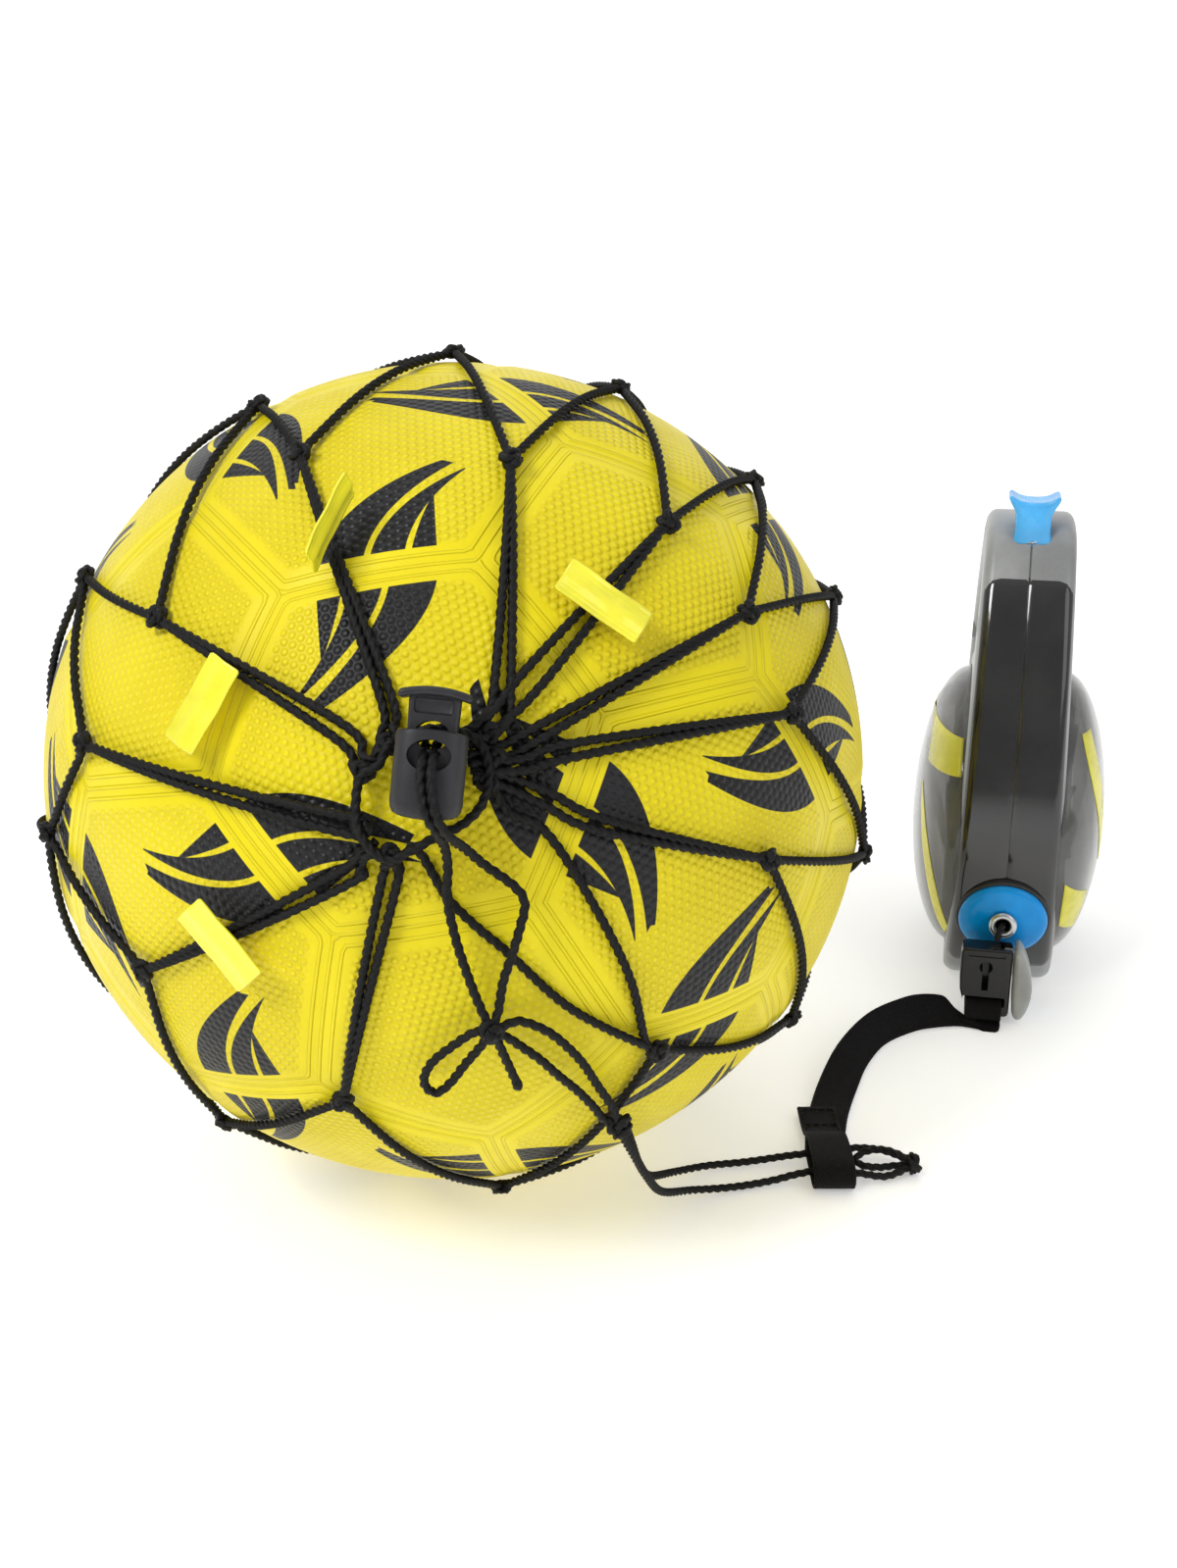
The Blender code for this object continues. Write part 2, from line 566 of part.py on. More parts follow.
def half_housing(name, side, paint, frame):
    """One half of the whole outer form, from the seam to its rounded outer edge."""
    near, far = sorted((side * GAP / 2, side * HALF_WIDTH_BASE))
    form = prism(name, [housing_outline(), [Vector(p) for p in FINGER_HOLE]], near, far, paint, frame)
    rim = [e for e in form.data.edges if all(abs(form.data.vertices[v].co.x) > 0.01 for v in e.vertices)]
    weights = form.data.attributes.new("bevel_weight_edge", "FLOAT", "EDGE")
    faces_of = {}
    for polygon in form.data.polygons:
        for key in polygon.edge_keys:
            faces_of.setdefault(key, []).append(polygon)
    for edge in rim:
        sides = faces_of[tuple(sorted(edge.vertices))]
        if sum(abs(f.normal.x) > 0.9 for f in sides) == 1:
            weights.data[edge.index].value = 1.0
    round_off = form.modifiers.new("rounding", "BEVEL")
    round_off.limit_method = "WEIGHT"
    round_off.width = 3.2 * MM
    round_off.segments = 1
    return taper(settle(form))


def front_strip(name, side, low, high, outer, inner, top, frame):
    """A prism that follows the front of the housing, between two depths from its surface."""
    front = [p for p in housing_outline() if p.x < 40 and 4 < p.y < top]
    front.sort(key=lambda p: p.y)
    front.append(front[-1] + (front[-1] - front[-2]).normalized() * max(0.1, top - front[-1].y))
    outside, inside = [], []
    for i, point in enumerate(front):
        along = (front[min(i + 1, len(front) - 1)] - front[max(i - 1, 0)]).normalized()
        inwards = Vector((along.y, -along.x))
        outside.append(point + inwards * outer)
        inside.append(point + inwards * inner)
    near, far = sorted((side * low, side * high))
    return taper(prism(name, [outside + inside[::-1]], near, far, frame=frame))


def cover_seat(side, frame):
    """The round recess that a side cover sits in."""
    ends = [(side * x, *DISC.yz) for x in (COVER_SEAT - GAP, 25)]
    return rod("seat", *ends, COVER_R + 0.6, frame=frame, sides=36)


def make_housing(side, word, frame):
    """A handle half with its pocket, screw bosses, cover seat and openings, and its nose panel."""
    form = half_housing(f"handle_{word}", side, "reel_grey", frame)
    deep = sorted((-side * 3.0, side * POCKET_HALF))
    pocket = prism("pocket", [POCKET], *deep, frame=frame)
    for y, z in SCREWS[2:]:
        boss = rod("boss", (side * -5, y, z), (side * 20, y, z), 4.2, frame=frame, sides=16)
        pocket = boolean(pocket, boss, "DIFFERENCE")
    form = boolean(form, pocket, "DIFFERENCE")
    form = boolean(form, cover_seat(side, frame), "DIFFERENCE")
    slot = block("slot", (-5.9, BUTTON_Y - 7.6, 136), (5.9, BUTTON_Y + 7.6, 160), frame=frame)
    form = boolean(form, slot, "DIFFERENCE")
    bore = rod("bore", (0, -5, OUTLET.z), (0, 20, OUTLET.z), 5.6, frame=frame)
    form = boolean(form, bore, "DIFFERENCE")
    recess = front_strip("recess", side, -2, 25, -3.0, PANEL_THICK + GAP, PANEL_TOP + 0.4, frame)
    form = boolean(form, recess, "DIFFERENCE")
    for y, z in SCREWS:
        hole = rod("hole", (-30, y, z), (9 if side > 0 else 2, y, z), 1.5 + GAP, frame=frame, sides=12)
        form = boolean(form, hole, "DIFFERENCE")
        if side < 0:
            sink = rod("sink", (-30, y, z), (-10, y, z), 3.0 + GAP, frame=frame, sides=16)
            form = boolean(form, sink, "DIFFERENCE")

    panel = half_housing(f"nose_panel_{word}", side, "gloss_black", frame)
    strip = front_strip("strip", side, -2, 25, -3.0, PANEL_THICK, PANEL_TOP, frame)
    panel = boolean(panel, strip, "INTERSECT")
    panel = boolean(panel, cover_seat(side, frame), "DIFFERENCE")
    tilt = Matrix.Rotation(radians(OUTLET_TILT), 3, "X")
    face = tilt @ Vector((0, -1, 0))
    way = OUTLET + face * 12, OUTLET - face * 12
    boolean(panel, rod("outlet_hole", *way, 8.2 + GAP, frame=frame), "DIFFERENCE")


def make_side_cover(side, word, frame):
    """A domed cover, open towards the housing."""
    height = COVER_BULGE - COVER_SEAT
    angles = [pi / 2 * k / 6 for k in range(7)]
    outside = [(COVER_R * cos(a), height * sin(a)) for a in angles]
    thin = COVER_THICK
    inside = [((COVER_R - thin) * cos(a), (height - thin) * sin(a)) for a in reversed(angles)]
    outside[-1], inside[0] = (0, height), (0, height - thin)
    stand = Matrix(((0, 0, side, side * COVER_SEAT), (0, 1, 0, DISC.y), (-side, 0, 0, DISC.z), (0, 0, 0, 1)))
    turned(f"side_cover_{word}", outside + inside, stand, "smoke", frame, steps=32)


def make_outlet(frame):
    """A blue disc set in the nose, with a steel ferrule that guides the lead."""
    across = Matrix.Rotation(radians(90 + OUTLET_TILT), 4, "X")
    across.translation = OUTLET
    radius = OUTLET_R
    profile = ((0, 4.6), (radius * 0.5, 4.2), (radius * 0.85, 3.1), (radius, 1.9), (radius, 0.7), (8.2, 0.7),
               (8.2, -2.0), (0, -2.0))
    disc = turned("outlet_bushing", profile, across, "blue", frame, steps=32)
    fore = rod("fore", (0, -14, OUTLET.z), (0, 20, OUTLET.z), 3.1 + GAP, frame=frame)
    boolean(disc, fore, "DIFFERENCE")
    front = OUTLET.y - 6.6
    ring = Matrix.Rotation(pi / 2, 4, "X")
    ring.translation = Vector((0, 0, OUTLET.z))
    profile = ((1.9, -front), (2.9, -front + 0.9), (4.2, -front + 0.4), (4.3, -front - 0.5),
               (3.1, -front - 1.0),
               (3.1, -OUTLET.y - 10), (1.9, -OUTLET.y - 10))
    turned("outlet_ferrule", profile, ring, "steel", frame, steps=24)


def make_brake(frame):
    """The thumb button, its spring and the pawl that it presses on the spool's rim."""
    low = 149.6
    flare = [(-5.3, low - 4), (-5.3, low + 2.8), (-7.8, low + 6.6), (-7.0, low + 8), (-3.2, low + 6.8),
             (0, low + 6.4), (3.2, low + 6.8), (7.0, low + 8), (7.8, low + 6.6), (5.3, low + 2.8),
             (5.3, low - 4)]
    button = prism("brake_button", [flare], -BUTTON_LENGTH / 2, BUTTON_LENGTH / 2, "blue", frame)
    button.data.transform(Matrix.Rotation(pi / 2, 4, "Z"))
    button.data.transform(Matrix.Translation((0, BUTTON_Y * MM, 0)))
    stem = block("stem", (-2, BUTTON_Y - 4, 101.2), (2, BUTTON_Y, low - 3), frame=frame)
    button = boolean(button, stem, "UNION")
    set_origin(button, Vector((0, BUTTON_Y, low)))

    turns, steps, bottom, top, radius = 4, 8, 126.8, 144.6, 4.0
    centre = BUTTON_Y - 2
    points = [(radius * cos(2 * pi * i / steps), centre + radius * sin(2 * pi * i / steps),
               bottom + (top - bottom) * i / (turns * steps)) for i in range(turns * steps + 1)]
    tube("button_spring", points, 0.7, "steel", frame)
    ledge = block("spring_ledge", (-11.4, 26.8, 124), (11.4, 36.6, 126), "nylon", frame)
    boolean(ledge, rod("hole", (0, centre, 120), (0, centre, 130), 3.4, frame=frame, sides=16), "DIFFERENCE")

    arm = prism("brake_pawl", [[(17.8, 91.0), (24, 91.0), (39, 96.0), (41.5, 92.6), (44, 95.2), (41, 99.6),
                                (36, 100.2), (24, 97.6), (17.8, 97.2)]], -2.5, 2.5, "charcoal", frame)
    arm = boolean(arm, rod("hole", (-5, *PAWL_PIVOT.yz), (5, *PAWL_PIVOT.yz), 1.5 + GAP, frame=frame,
                           sides=16),
                  "DIFFERENCE")
    set_origin(arm, PAWL_PIVOT)
    rod("pawl_pin", (-11.2, *PAWL_PIVOT.yz), (11.2, *PAWL_PIVOT.yz), 1.5, "steel", frame, sides=16)


def make_spool(frame):
    """The spool, the lead wound on it, its axle and the flat spring that winds it back."""
    across = Matrix(((0, 0, 1, 0), (0, 1, 0, DISC.y), (-1, 0, 0, DISC.z), (0, 0, 0, 1)))
    bore = AXLE_R + GAP
    profile = ((bore, -11.2), (SPOOL_R, -11.2), (SPOOL_R, -9.6), (HUB_R, -9.6), (HUB_R, 9.6), (SPOOL_R, 9.6),
               (SPOOL_R, 11.2), (HUB_R - 1.5, 11.2), (HUB_R - 1.5, -9.6), (bore, -9.6))
    set_origin(turned("spool", profile, across, "nylon", frame), DISC)
    profile = ((HUB_R + GAP, -9.2), (WINDING_R - 0.6, -9.2), (WINDING_R, -7), (WINDING_R, 7),
               (WINDING_R - 0.6, 9.2), (HUB_R + GAP, 9.2))
    set_origin(turned("wound_lead", profile, across, "black_cord", frame), DISC)
    rod("spool_axle", (-11.4, *DISC.yz), (11.4, *DISC.yz), AXLE_R, "steel", frame)

    curve = bpy.data.curves.new("mainspring", "CURVE")
    curve.dimensions = "3D"
    curve.extrude = 7.0 * MM
    curve.bevel_depth = 0.25 * MM
    curve.bevel_resolution = 0
    curve.use_fill_caps = True
    line = curve.splines.new("POLY")
    turns, steps = 4, 16
    line.points.add(turns * steps)
    for i, slot in enumerate(line.points):
        angle, reach = 2 * pi * i / steps, 4.6 + 9.0 * i / (turns * steps)
        slot.co = (reach * cos(angle) * MM, reach * sin(angle) * MM, 0, 1)
    spring = settle(add_object("mainspring", curve, "steel", frame))
    spring.data.transform(Matrix(((0, 0, 1, 0), (1, 0, 0, 0), (0, 1, 0, 0), (0, 0, 0, 1))))
    spring.location = DISC * MM


def make_screws(frame):
    for number, (y, z) in enumerate(SCREWS, 1):
        head = -11.5
        screw = rod(f"housing_screw_{number}", (head, y, z), (head - 1.8, y, z), 3.0, "steel", frame,
                    sides=16)
        shank = rod("shank", (head - 1, y, z), (8.0, y, z), 1.4, frame=frame, sides=12)
        boolean(screw, shank, "UNION")


def make_lead_and_clip(frame):
    """The lead from the winding to the clip, and the clip with its lever."""
    turn_r = 4.8
    front = OUTLET.y - 6.8
    route = [(0, DISC.y - k * 8.0, OUTLET.z) for k in range(6)] + [(0, front + 1, OUTLET.z)]
    route += [(LEAD_AT_CLIP * k / 5, front - turn_r * sin(a), OUTLET.z - turn_r * (1 - cos(a))) for k, a in
              ((k, radians(15 * k)) for k in range(6))]
    tube("lead", route, LEAD_D, "black_cord", frame)

    low, high = CLIP - CLIP_SIZE / 2, CLIP + CLIP_SIZE / 2
    body = block("clip_body", low, high, "charcoal", frame, bevel=1.0)
    eye = block("eye", (CLIP.x - 6.4, low.y - 5, low.z + 3.4), (CLIP.x + 6.4, high.y + 5, low.z + 6.6),
                frame=frame)
    body = boolean(body, eye, "DIFFERENCE")
    key = rod("key", (CLIP.x, low.y - 5, 18.6), (CLIP.x, high.y + 5, 18.6), 2.0, frame=frame)
    body = boolean(body, key, "DIFFERENCE")
    slot = block("slot", (CLIP.x - 1, low.y - 5, 10.8), (CLIP.x + 1, high.y + 5, 18.6), frame=frame)
    body = boolean(body, slot, "DIFFERENCE")
    ears = block("ears", (-0.2, CLIP.y - 2.3, 18.6), (high.x + 1, CLIP.y + 2.3, high.z + 1), frame=frame)
    body = boolean(body, ears, "DIFFERENCE")
    pin = [Vector((LEVER_PIVOT.x, CLIP.y + reach, LEVER_PIVOT.z)) for reach in (-6, 6)]
    boolean(body, rod("pin_hole", *pin, LEVER_PIN_R + GAP, frame=frame, sides=12), "DIFFERENCE")

    lever = block("clip_lever", (high.x + 0.5, CLIP.y - 5.4, 1.6), (high.x + 6.6, CLIP.y + 5.4, 25.6),
                  "grey_lever", frame, bevel=2.6, segments=2)
    tongue = block("tongue", (1.1, CLIP.y - 1.9, 19.8), (high.x + 2, CLIP.y + 1.9, 23.4), frame=frame)
    lever = boolean(lever, tongue, "UNION")
    lever = boolean(lever, rod("pin_hole", *pin, LEVER_PIN_R + GAP, frame=frame, sides=12), "DIFFERENCE")
    set_origin(lever, LEVER_PIVOT)
    rod("lever_pin", pin[0] + Vector((0, 2.2, 0)), pin[1] - Vector((0, 2.2, 0)), LEVER_PIN_R, "steel", frame,
        sides=12)

    bar = [(-13.6, 0.9), (-10.0, 0.85), (-5.6, 0.85), (-1.4, 0.9), (1.0, 2.2), (1.3, 4.8), (-0.4, 6.9),
           (-5.6, 7.1), (-10.8, 6.9), (-13.0, 5.0), (-13.7, 3.0)]
    points = [(CLIP.x, y, z) for y, z in smooth(bar, 3)]
    ribbon("strap_clip_loop", points, [(1, 0, 0)] * len(points), WEB_WIDTH, WEB, "black_web", frame)


def make_reel():
    stand = Matrix.Translation(REEL_AT * MM) @ Matrix.Rotation(radians(REEL_YAW), 4, "Z")
    frame = add_frame("reel_frame", stand)
    for side, word in ((-1, "left"), (1, "right")):
        make_housing(side, word, frame)
        make_side_cover(side, word, frame)
    make_outlet(frame)
    make_brake(frame)
    make_spool(frame)
    make_screws(frame)
    make_lead_and_clip(frame)


clear_scene()
PARTS = new_collection("football_trainer")
make_ball()
make_net()
make_tags()
make_cord_lock()
make_draw_cord()
make_tether()
make_strap()
make_reel()
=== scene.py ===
from functools import partial
from itertools import combinations
from math import ceil, cos, pi, radians, sin, sqrt

import bmesh
import bpy
import numpy as np
from mathutils import Matrix, Vector
from mathutils.geometry import tessellate_polygon


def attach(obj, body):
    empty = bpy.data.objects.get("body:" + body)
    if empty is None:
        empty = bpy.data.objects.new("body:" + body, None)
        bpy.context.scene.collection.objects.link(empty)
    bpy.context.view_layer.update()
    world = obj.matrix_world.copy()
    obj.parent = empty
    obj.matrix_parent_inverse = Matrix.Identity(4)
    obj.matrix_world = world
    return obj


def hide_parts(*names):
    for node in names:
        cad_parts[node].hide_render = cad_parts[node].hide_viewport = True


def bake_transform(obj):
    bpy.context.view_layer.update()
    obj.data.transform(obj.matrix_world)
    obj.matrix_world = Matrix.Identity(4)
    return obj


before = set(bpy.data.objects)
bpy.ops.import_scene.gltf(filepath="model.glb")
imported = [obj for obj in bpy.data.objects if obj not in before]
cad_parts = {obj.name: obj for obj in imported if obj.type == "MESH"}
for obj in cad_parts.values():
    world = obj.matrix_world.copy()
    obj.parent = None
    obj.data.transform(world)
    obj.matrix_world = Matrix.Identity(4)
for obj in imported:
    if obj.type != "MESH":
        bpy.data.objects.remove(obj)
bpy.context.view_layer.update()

# Lengths are millimetres and MM turns them into metres; the floor is z = 0 and the viewer stands at -Y.
MM = 0.001
ROOT = "ball_and_reel"

BALL = Vector((-49.4, -36.9, 105.2))
BALL_R = 103.0
# A truncated icosahedron of edge 1: how far its corners, pentagons and hexagons are from its centre,
# and a pentagon's and a hexagon's sides from the face's own middle.
CORNER_REACH = 2.47802
FACE_REACH = (2.32744, 2.26728)
APOTHEM = (0.68819, 0.86603)
# The moulded seam: half its width and its depth, and a length on the skin over one in a panel's plane.
SEAM_HALF = 4.6
SEAM_DEPTH = 0.55
SKIN_SHARE = 0.93
PEBBLE_PITCH = 2.3
SEAM_LINE_PITCH = 2.5
CORD_D = 2.2
# How far a cord's middle is off the skin: over the net's cords, straight on the skin, and more at a knot.
DRAPE = 4.9
SKIN = 1.35
KNOT_RISE = 0.9
MOUTH_AZIMUTH = 6.6
MOUTH_ELEVATION = 24.0
PENTAGON_UPPER = Vector((0.432, -0.606, 0.668))
PENTAGON_LOWER = Vector((0.060, -0.967, -0.246))

# The net's knots: (degrees clockwise from the top, degrees off the mouth).
NET_ROW_1 = ((10, 35), (44, 37), (67, 39), (87, 42), (114, 41), (151, 48),
             (202, 51), (238, 55), (273, 53), (294, 43), (332, 44))
NET_ROW_2 = ((25, 69), (48, 72), (68, 73), (105, 76), (130, 78), (177, 81),
             (216, 82), (262, 68), (298, 69), (332, 66), (361, 72))
NET_ROW_3_POLAR = 107
NET_ROW_4_POLAR = 142
BACK_RING = 174

# The two cords from each knot of the first row to the net's mouth, as (x, z) from the ball's centre.
MOUTH_CORDS = (
    ((17.6, 50.3), (17.3, 44.1), (12.0, 40.0)), ((14.5, 52.4), (13.0, 45.3), (9.0, 41.5)),
    ((21.3, 53.6), (14.0, 45.6), (8.5, 42.0)), ((25.3, 51.5), (15.2, 42.9), (9.0, 39.5)),
    ((22.6, 42.4), (15.2, 39.2), (9.0, 37.8)), ((23.4, 40.0), (16.0, 37.0), (9.5, 36.2)),
    ((30.3, 38.8), (20.0, 36.6), (9.0, 36.4)), ((30.8, 36.2), (20.5, 34.4), (9.5, 35.0)),
    ((37.2, 23.0), (25.3, 29.9), (15.2, 34.1), (10.0, 34.0)),
    ((36.2, 20.9), (24.4, 27.4), (15.0, 32.2), (10.0, 33.0)),
    ((30.1, -18.5), (16.8, -2.9), (10.7, 3.2), (5.0, 9.5), (1.7, 15.3), (-0.8, 19.7), (-3.0, 21.0)),
    ((45.4, -30.4), (41.9, -12.5), (33.6, 7.2), (24.5, 22.3), (17.5, 26.5), (13.6, 32.4), (10.0, 34.0)),
    ((-9.2, 10.1), (-7.5, 16.6), (-6.9, 20.4)), ((-5.9, 10.6), (-5.3, 16.6), (-5.2, 20.4)),
    ((-16.3, 11.7), (-13.0, 15.2), (-11.6, 18.2), (-8.5, 20.0)), ((-18.5, 13.9), (-13.8, 17.6), (-9.0, 21.6)),
    ((-19.0, 26.6), (-11.4, 26.3)), ((-18.6, 23.4), (-11.2, 23.6)),
    ((-18.8, 41.4), (-13.4, 35.4), (-9.0, 35.0)), ((-17.0, 43.9), (-11.6, 37.6), (-7.6, 37.4)),
    ((-9.4, 50.9), (-8.0, 41.5), (-9.0, 37.5)), ((-7.2, 51.1), (-5.6, 42.6), (-3.0, 40.5)))
MOUTH_HITCHES = ((-6.2, 19.4), (-11.8, 25.2), (-11.6, 35.4), (-6.6, 40.6), (13.2, 42.4),
                 (14.2, 38.2), (13.2, 33.6))

DRAW_RING = ((-5.6, 41.8), (-8.3, 37.3), (-11.9, 35.2), (-12.9, 30.1), (-12.6, 25.2), (-10.0, 21.0),
             (-6.5, 19.0),
             (-2.7, 20.6), (1.0, 22.6), (4.6, 24.5), (8.1, 25.9), (12.0, 29.6), (13.6, 35.1), (12.4, 40.3),
             (8.9, 43.1), (1.9, 44.0))
# Points that lie over the ball are (x, z) from its centre, and the lift above a cord that lies on the net.
IN_LOCK_LEFT = ((1.6, 43.0, 5.0), (1.7, 42.9, 9.5), (1.6, 42.2, 12.6))
IN_LOCK_RIGHT = ((3.8, 43.1, 5.0), (3.8, 43.0, 9.5), (3.6, 42.2, 12.8))
STRAND_LEFT = ((1.3, 39.2, 14.4), (2.2, 33.5, 14.6), (4.2, 28.8, 12.2), (5.0, 24.0, 5.6), (5.3, 18.2, 1.2),
               (5.0, 11.4, 0.1), (6.0, 4.9, 0.0), (7.4, -1.2, 0.0), (9.8, -9.6, 0.0), (11.6, -15.0, 0.2))
STRAND_RIGHT = ((3.3, 39.2, 14.8), (4.2, 33.4, 15.0), (6.4, 28.4, 12.6), (8.9, 23.4, 5.4), (12.4, 18.4, 1.2),
                (18.3, 13.2, 0.1), (20.4, 9.4, 0.0), (19.4, 4.2, 0.0), (17.6, -2.0, 0.0), (15.8, -7.7, 0.0),
                (14.6, -14.9, 0.2))
BOW_KNOT = (13.2, -18.7, 1.6)
BOW_LOOP = ((9.7, -19.2, 0.6), (5.2, -22.8, 0.0), (0.8, -27.0, 0.0), (-1.3, -31.3, 0.0), (-1.0, -34.6, 0.0),
            (1.2, -36.0, 0.0), (4.2, -33.0, 0.0), (7.4, -28.0, 0.0), (10.8, -23.0, 0.6))
BOW_TAIL = ((14.6, -22.6, 0.6), (15.4, -25.6, 0.2), (16.6, -29.6, 0.0), (18.4, -35.9, 0.0))
TETHER_UPPER = ((16.9, -17.6, 0.6), (19.2, -17.6, 0.0), (23.0, -19.6, 0.0), (26.8, -23.1, 0.0),
                (31.6, -30.2, 0.0), (35.2, -38.6, 0.0), (38.4, -45.6, 1.2))
TETHER_LOWER = ((16.6, -21.3, 0.6), (18.9, -23.9, 0.0), (23.0, -28.2, 0.0), (26.8, -33.5, 0.0),
                (30.8, -39.0, 0.0), (34.4, -45.0, 0.6), (36.4, -48.9, 1.2))
HITCH = (40.0, -51.3, 2.4)

# Points on the floor side are (x, y) from the ball's axis and the height.
TETHER_LEFT = ((41.2, -82.4, 50.4), (43.2, -74.0, 40.0), (45.4, -63.2, 27.5), (48.6, -48.5, 15.0),
               (55.6, -32.0, 5.6), (64.6, -24.0, 2.4), (76.0, -20.6, 1.6), (88.0, -19.0, 2.6),
               (97.0, -18.6, 3.3), (105.0, -17.0, 3.6), (112.5, -16.6, 2.6), (117.8, -20.2, 2.4))
TETHER_RIGHT = ((40.2, -86.4, 50.6), (43.6, -78.0, 39.4), (47.4, -67.6, 26.4), (51.6, -53.6, 13.6),
                (59.6, -39.0, 4.6), (70.6, -33.0, 1.6), (81.0, -30.0, 1.6), (89.0, -28.0, 2.6),
                (97.0, -27.0, 3.2), (104.5, -27.8, 2.6), (111.0, -28.2, 1.8), (115.6, -26.8, 2.4))
TETHER_FOLD = ((115.9, -23.4, 5.4), (111.5, -21.0, 5.6), (106.6, -20.8, 4.6), (104.4, -22.8, 3.4),
               (106.4, -24.6, 2.8), (110.8, -24.4, 2.2), (115.2, -23.2, 2.0))
END_KNOT = (119.4, -24.6, 3.2)

WEB_WIDTH = 11.0
WEB = 1.2
STRAP_FLOOR = ((145.2, 62.4, 34), (139.0, 60.2, 50), (131.8, 56.6, 60), (121.0, 48.0, 58), (112.0, 34.5, 42),
               (105.6, 20.0, 18), (101.0, 6.0, 4), (98.4, -6.0, 0))
STRAP_LOOP = ((-14.0, 0.8), (-24.0, 0.8), (-31.5, 1.0), (-34.2, 3.9), (-31.5, 6.9), (-23.0, 7.2),
              (-15.0, 6.2), (-9.0, 3.3), (-3.0, 2.3), (6.0, 2.3))
CLIP_LOOP = ((-13.7, 3.0), (-13.0, 5.0), (-10.8, 6.9), (-5.6, 7.1), (-0.4, 6.9), (1.3, 4.8), (1.0, 2.2),
             (-1.4, 0.9), (-5.6, 0.85), (-10.0, 0.85), (-13.6, 0.9))

TAG_LENGTH = 20.0
TAG_WIDTH = 8.4
TAG_FILM = 0.45
TAGS = (((-45.6, 45.6, 0.4), 22, 0), ((36.4, 65.0, 0.4), -45, 0),
        ((-43.0, -2.8, 0.4), -44, 0), ((-19.4, 80.4, 3.6), 10, 95))

LOCK_AT = (2.3, 38.0, 7.2)
LOCK_LEAN = 6.0
LOCK_WIDTH = 14.2
LOCK_DEPTH = 11.0
LOCK_HEIGHT = 17.5
LOCK_HOLE_Z = 3.6
PLUNGER_TOP = 17.0

# The reel's own frame: x across, y back from the front of its nose, z up.
REEL_AT = Vector((BALL.x + 162.0, BALL.y + 71.0, 0.0))
REEL_YAW = -12.0
DISC = Vector((0.0, 48.0, 51.0))
HALF_WIDTH_BASE = 17.2
HALF_WIDTH_SLOPE = 0.0253
HOUSING = ((26, 0), (74, 0), (86, 9), (94, 24), (98, 42), (101, 56), (109, 68), (116, 82), (117, 98),
           (108, 116), (93, 131), (76, 142), (58, 148), (42, 148.6), (31, 145), (22, 133), (14, 115),
           (7, 92), (2.2, 68), (0.6, 50), (3.4, 33), (9, 18), (17, 6))
FINGER_HOLE = ((42, 110), (46, 105.5), (56, 103.5), (70, 98.5), (84, 88), (93, 79.5), (100, 79.5),
               (103, 88), (100, 101), (90, 114), (76, 124), (60, 130.5), (49, 130), (43, 122))
EDGE_ROUND = 4.0
PANEL_TOP = 134.0
PANEL_BOTTOM = 9.0
PANEL_CORNER = 5.0
PANEL_THICK = 1.6
COVER_R = 46.0
COVER_SEAT = 14.7
COVER_BULGE = 30.5
COVER_THICK = 1.8
OUTLET = Vector((0.0, 4.4, 30.0))
OUTLET_R = 13.6
OUTLET_TILT = 18.0
LEAD_D = 2.4
BUTTON_Y = 35.0
BUTTON_LENGTH = 14.0
BUTTON_LOW = 149.6
SCREWS = ((106, 96), (66, 140), (24, 118), (88, 32))
CLIP = Vector((-4.2, -5.6, 13.3))
CLIP_SIZE = Vector((15.6, 8.0, 22.6))
LEAD_AT_CLIP = -1.8
# The printed bands on each cover, by the side they are on: the outer and inner edge of each as (x, z).
BANDS = {
    -1: ((((27.6, 66), (27.4, 58), (25.6, 44), (21.6, 28), (17.2, 17)),
          ((27.5, 66), (25.8, 56), (22.8, 43), (19.2, 30), (16.2, 21))),
         (((25.6, 85), (25.9, 79), (26.3, 73)), ((15.8, 84), (15.8, 78), (15.8, 74)))),
    1: ((((22.4, 86), (26.4, 73), (28.6, 61), (29.3, 52), (29.4, 42)),
         ((19.6, 86), (24.0, 71), (26.8, 60), (28.0, 52), (28.8, 42))),
        (((25.6, 36), (24.6, 30), (22.8, 22)), ((17.6, 43), (17.4, 34), (17.4, 26))))}

# The camera, from the ball's centre, and the lights: name, place in metres, size and watts.
CAMERA_AT = Vector((33.23, -431.84, 153.67))
CAMERA_TILT = 70.0
CAMERA_LENS = 40.68
SENSOR = 36.0
LIGHTS = (("key", (-0.75, -0.75, 1.05), 0.45, 10.5), ("fill", (0.9, -0.9, 0.7), 0.8, 3.0),
          ("top", (0.0, 0.3, 1.3), 1.0, 2.0))

REEL_MATRIX = Matrix.Translation(REEL_AT * MM) @ Matrix.Rotation(radians(REEL_YAW), 4, "Z")


# ---- places ----

def over_ball(x, z, lift):
    """The place in front of the ball at (x, z) from its centre, lifted off the net's cords."""
    radius = BALL_R + lift + DRAPE
    return BALL + Vector((x, -sqrt(radius * radius - x * x - z * z), z))


def on_skin(x, z, lift):
    """The place in front of the ball at (x, z) from its centre, lifted off its skin."""
    return over_ball(x, z, lift - DRAPE)


def by_ball(x, y, z):
    return Vector((BALL.x + x, BALL.y + y, z))


def by_reel(x, y, z):
    return REEL_MATRIX @ (Vector((x, y, z)) * MM) / MM


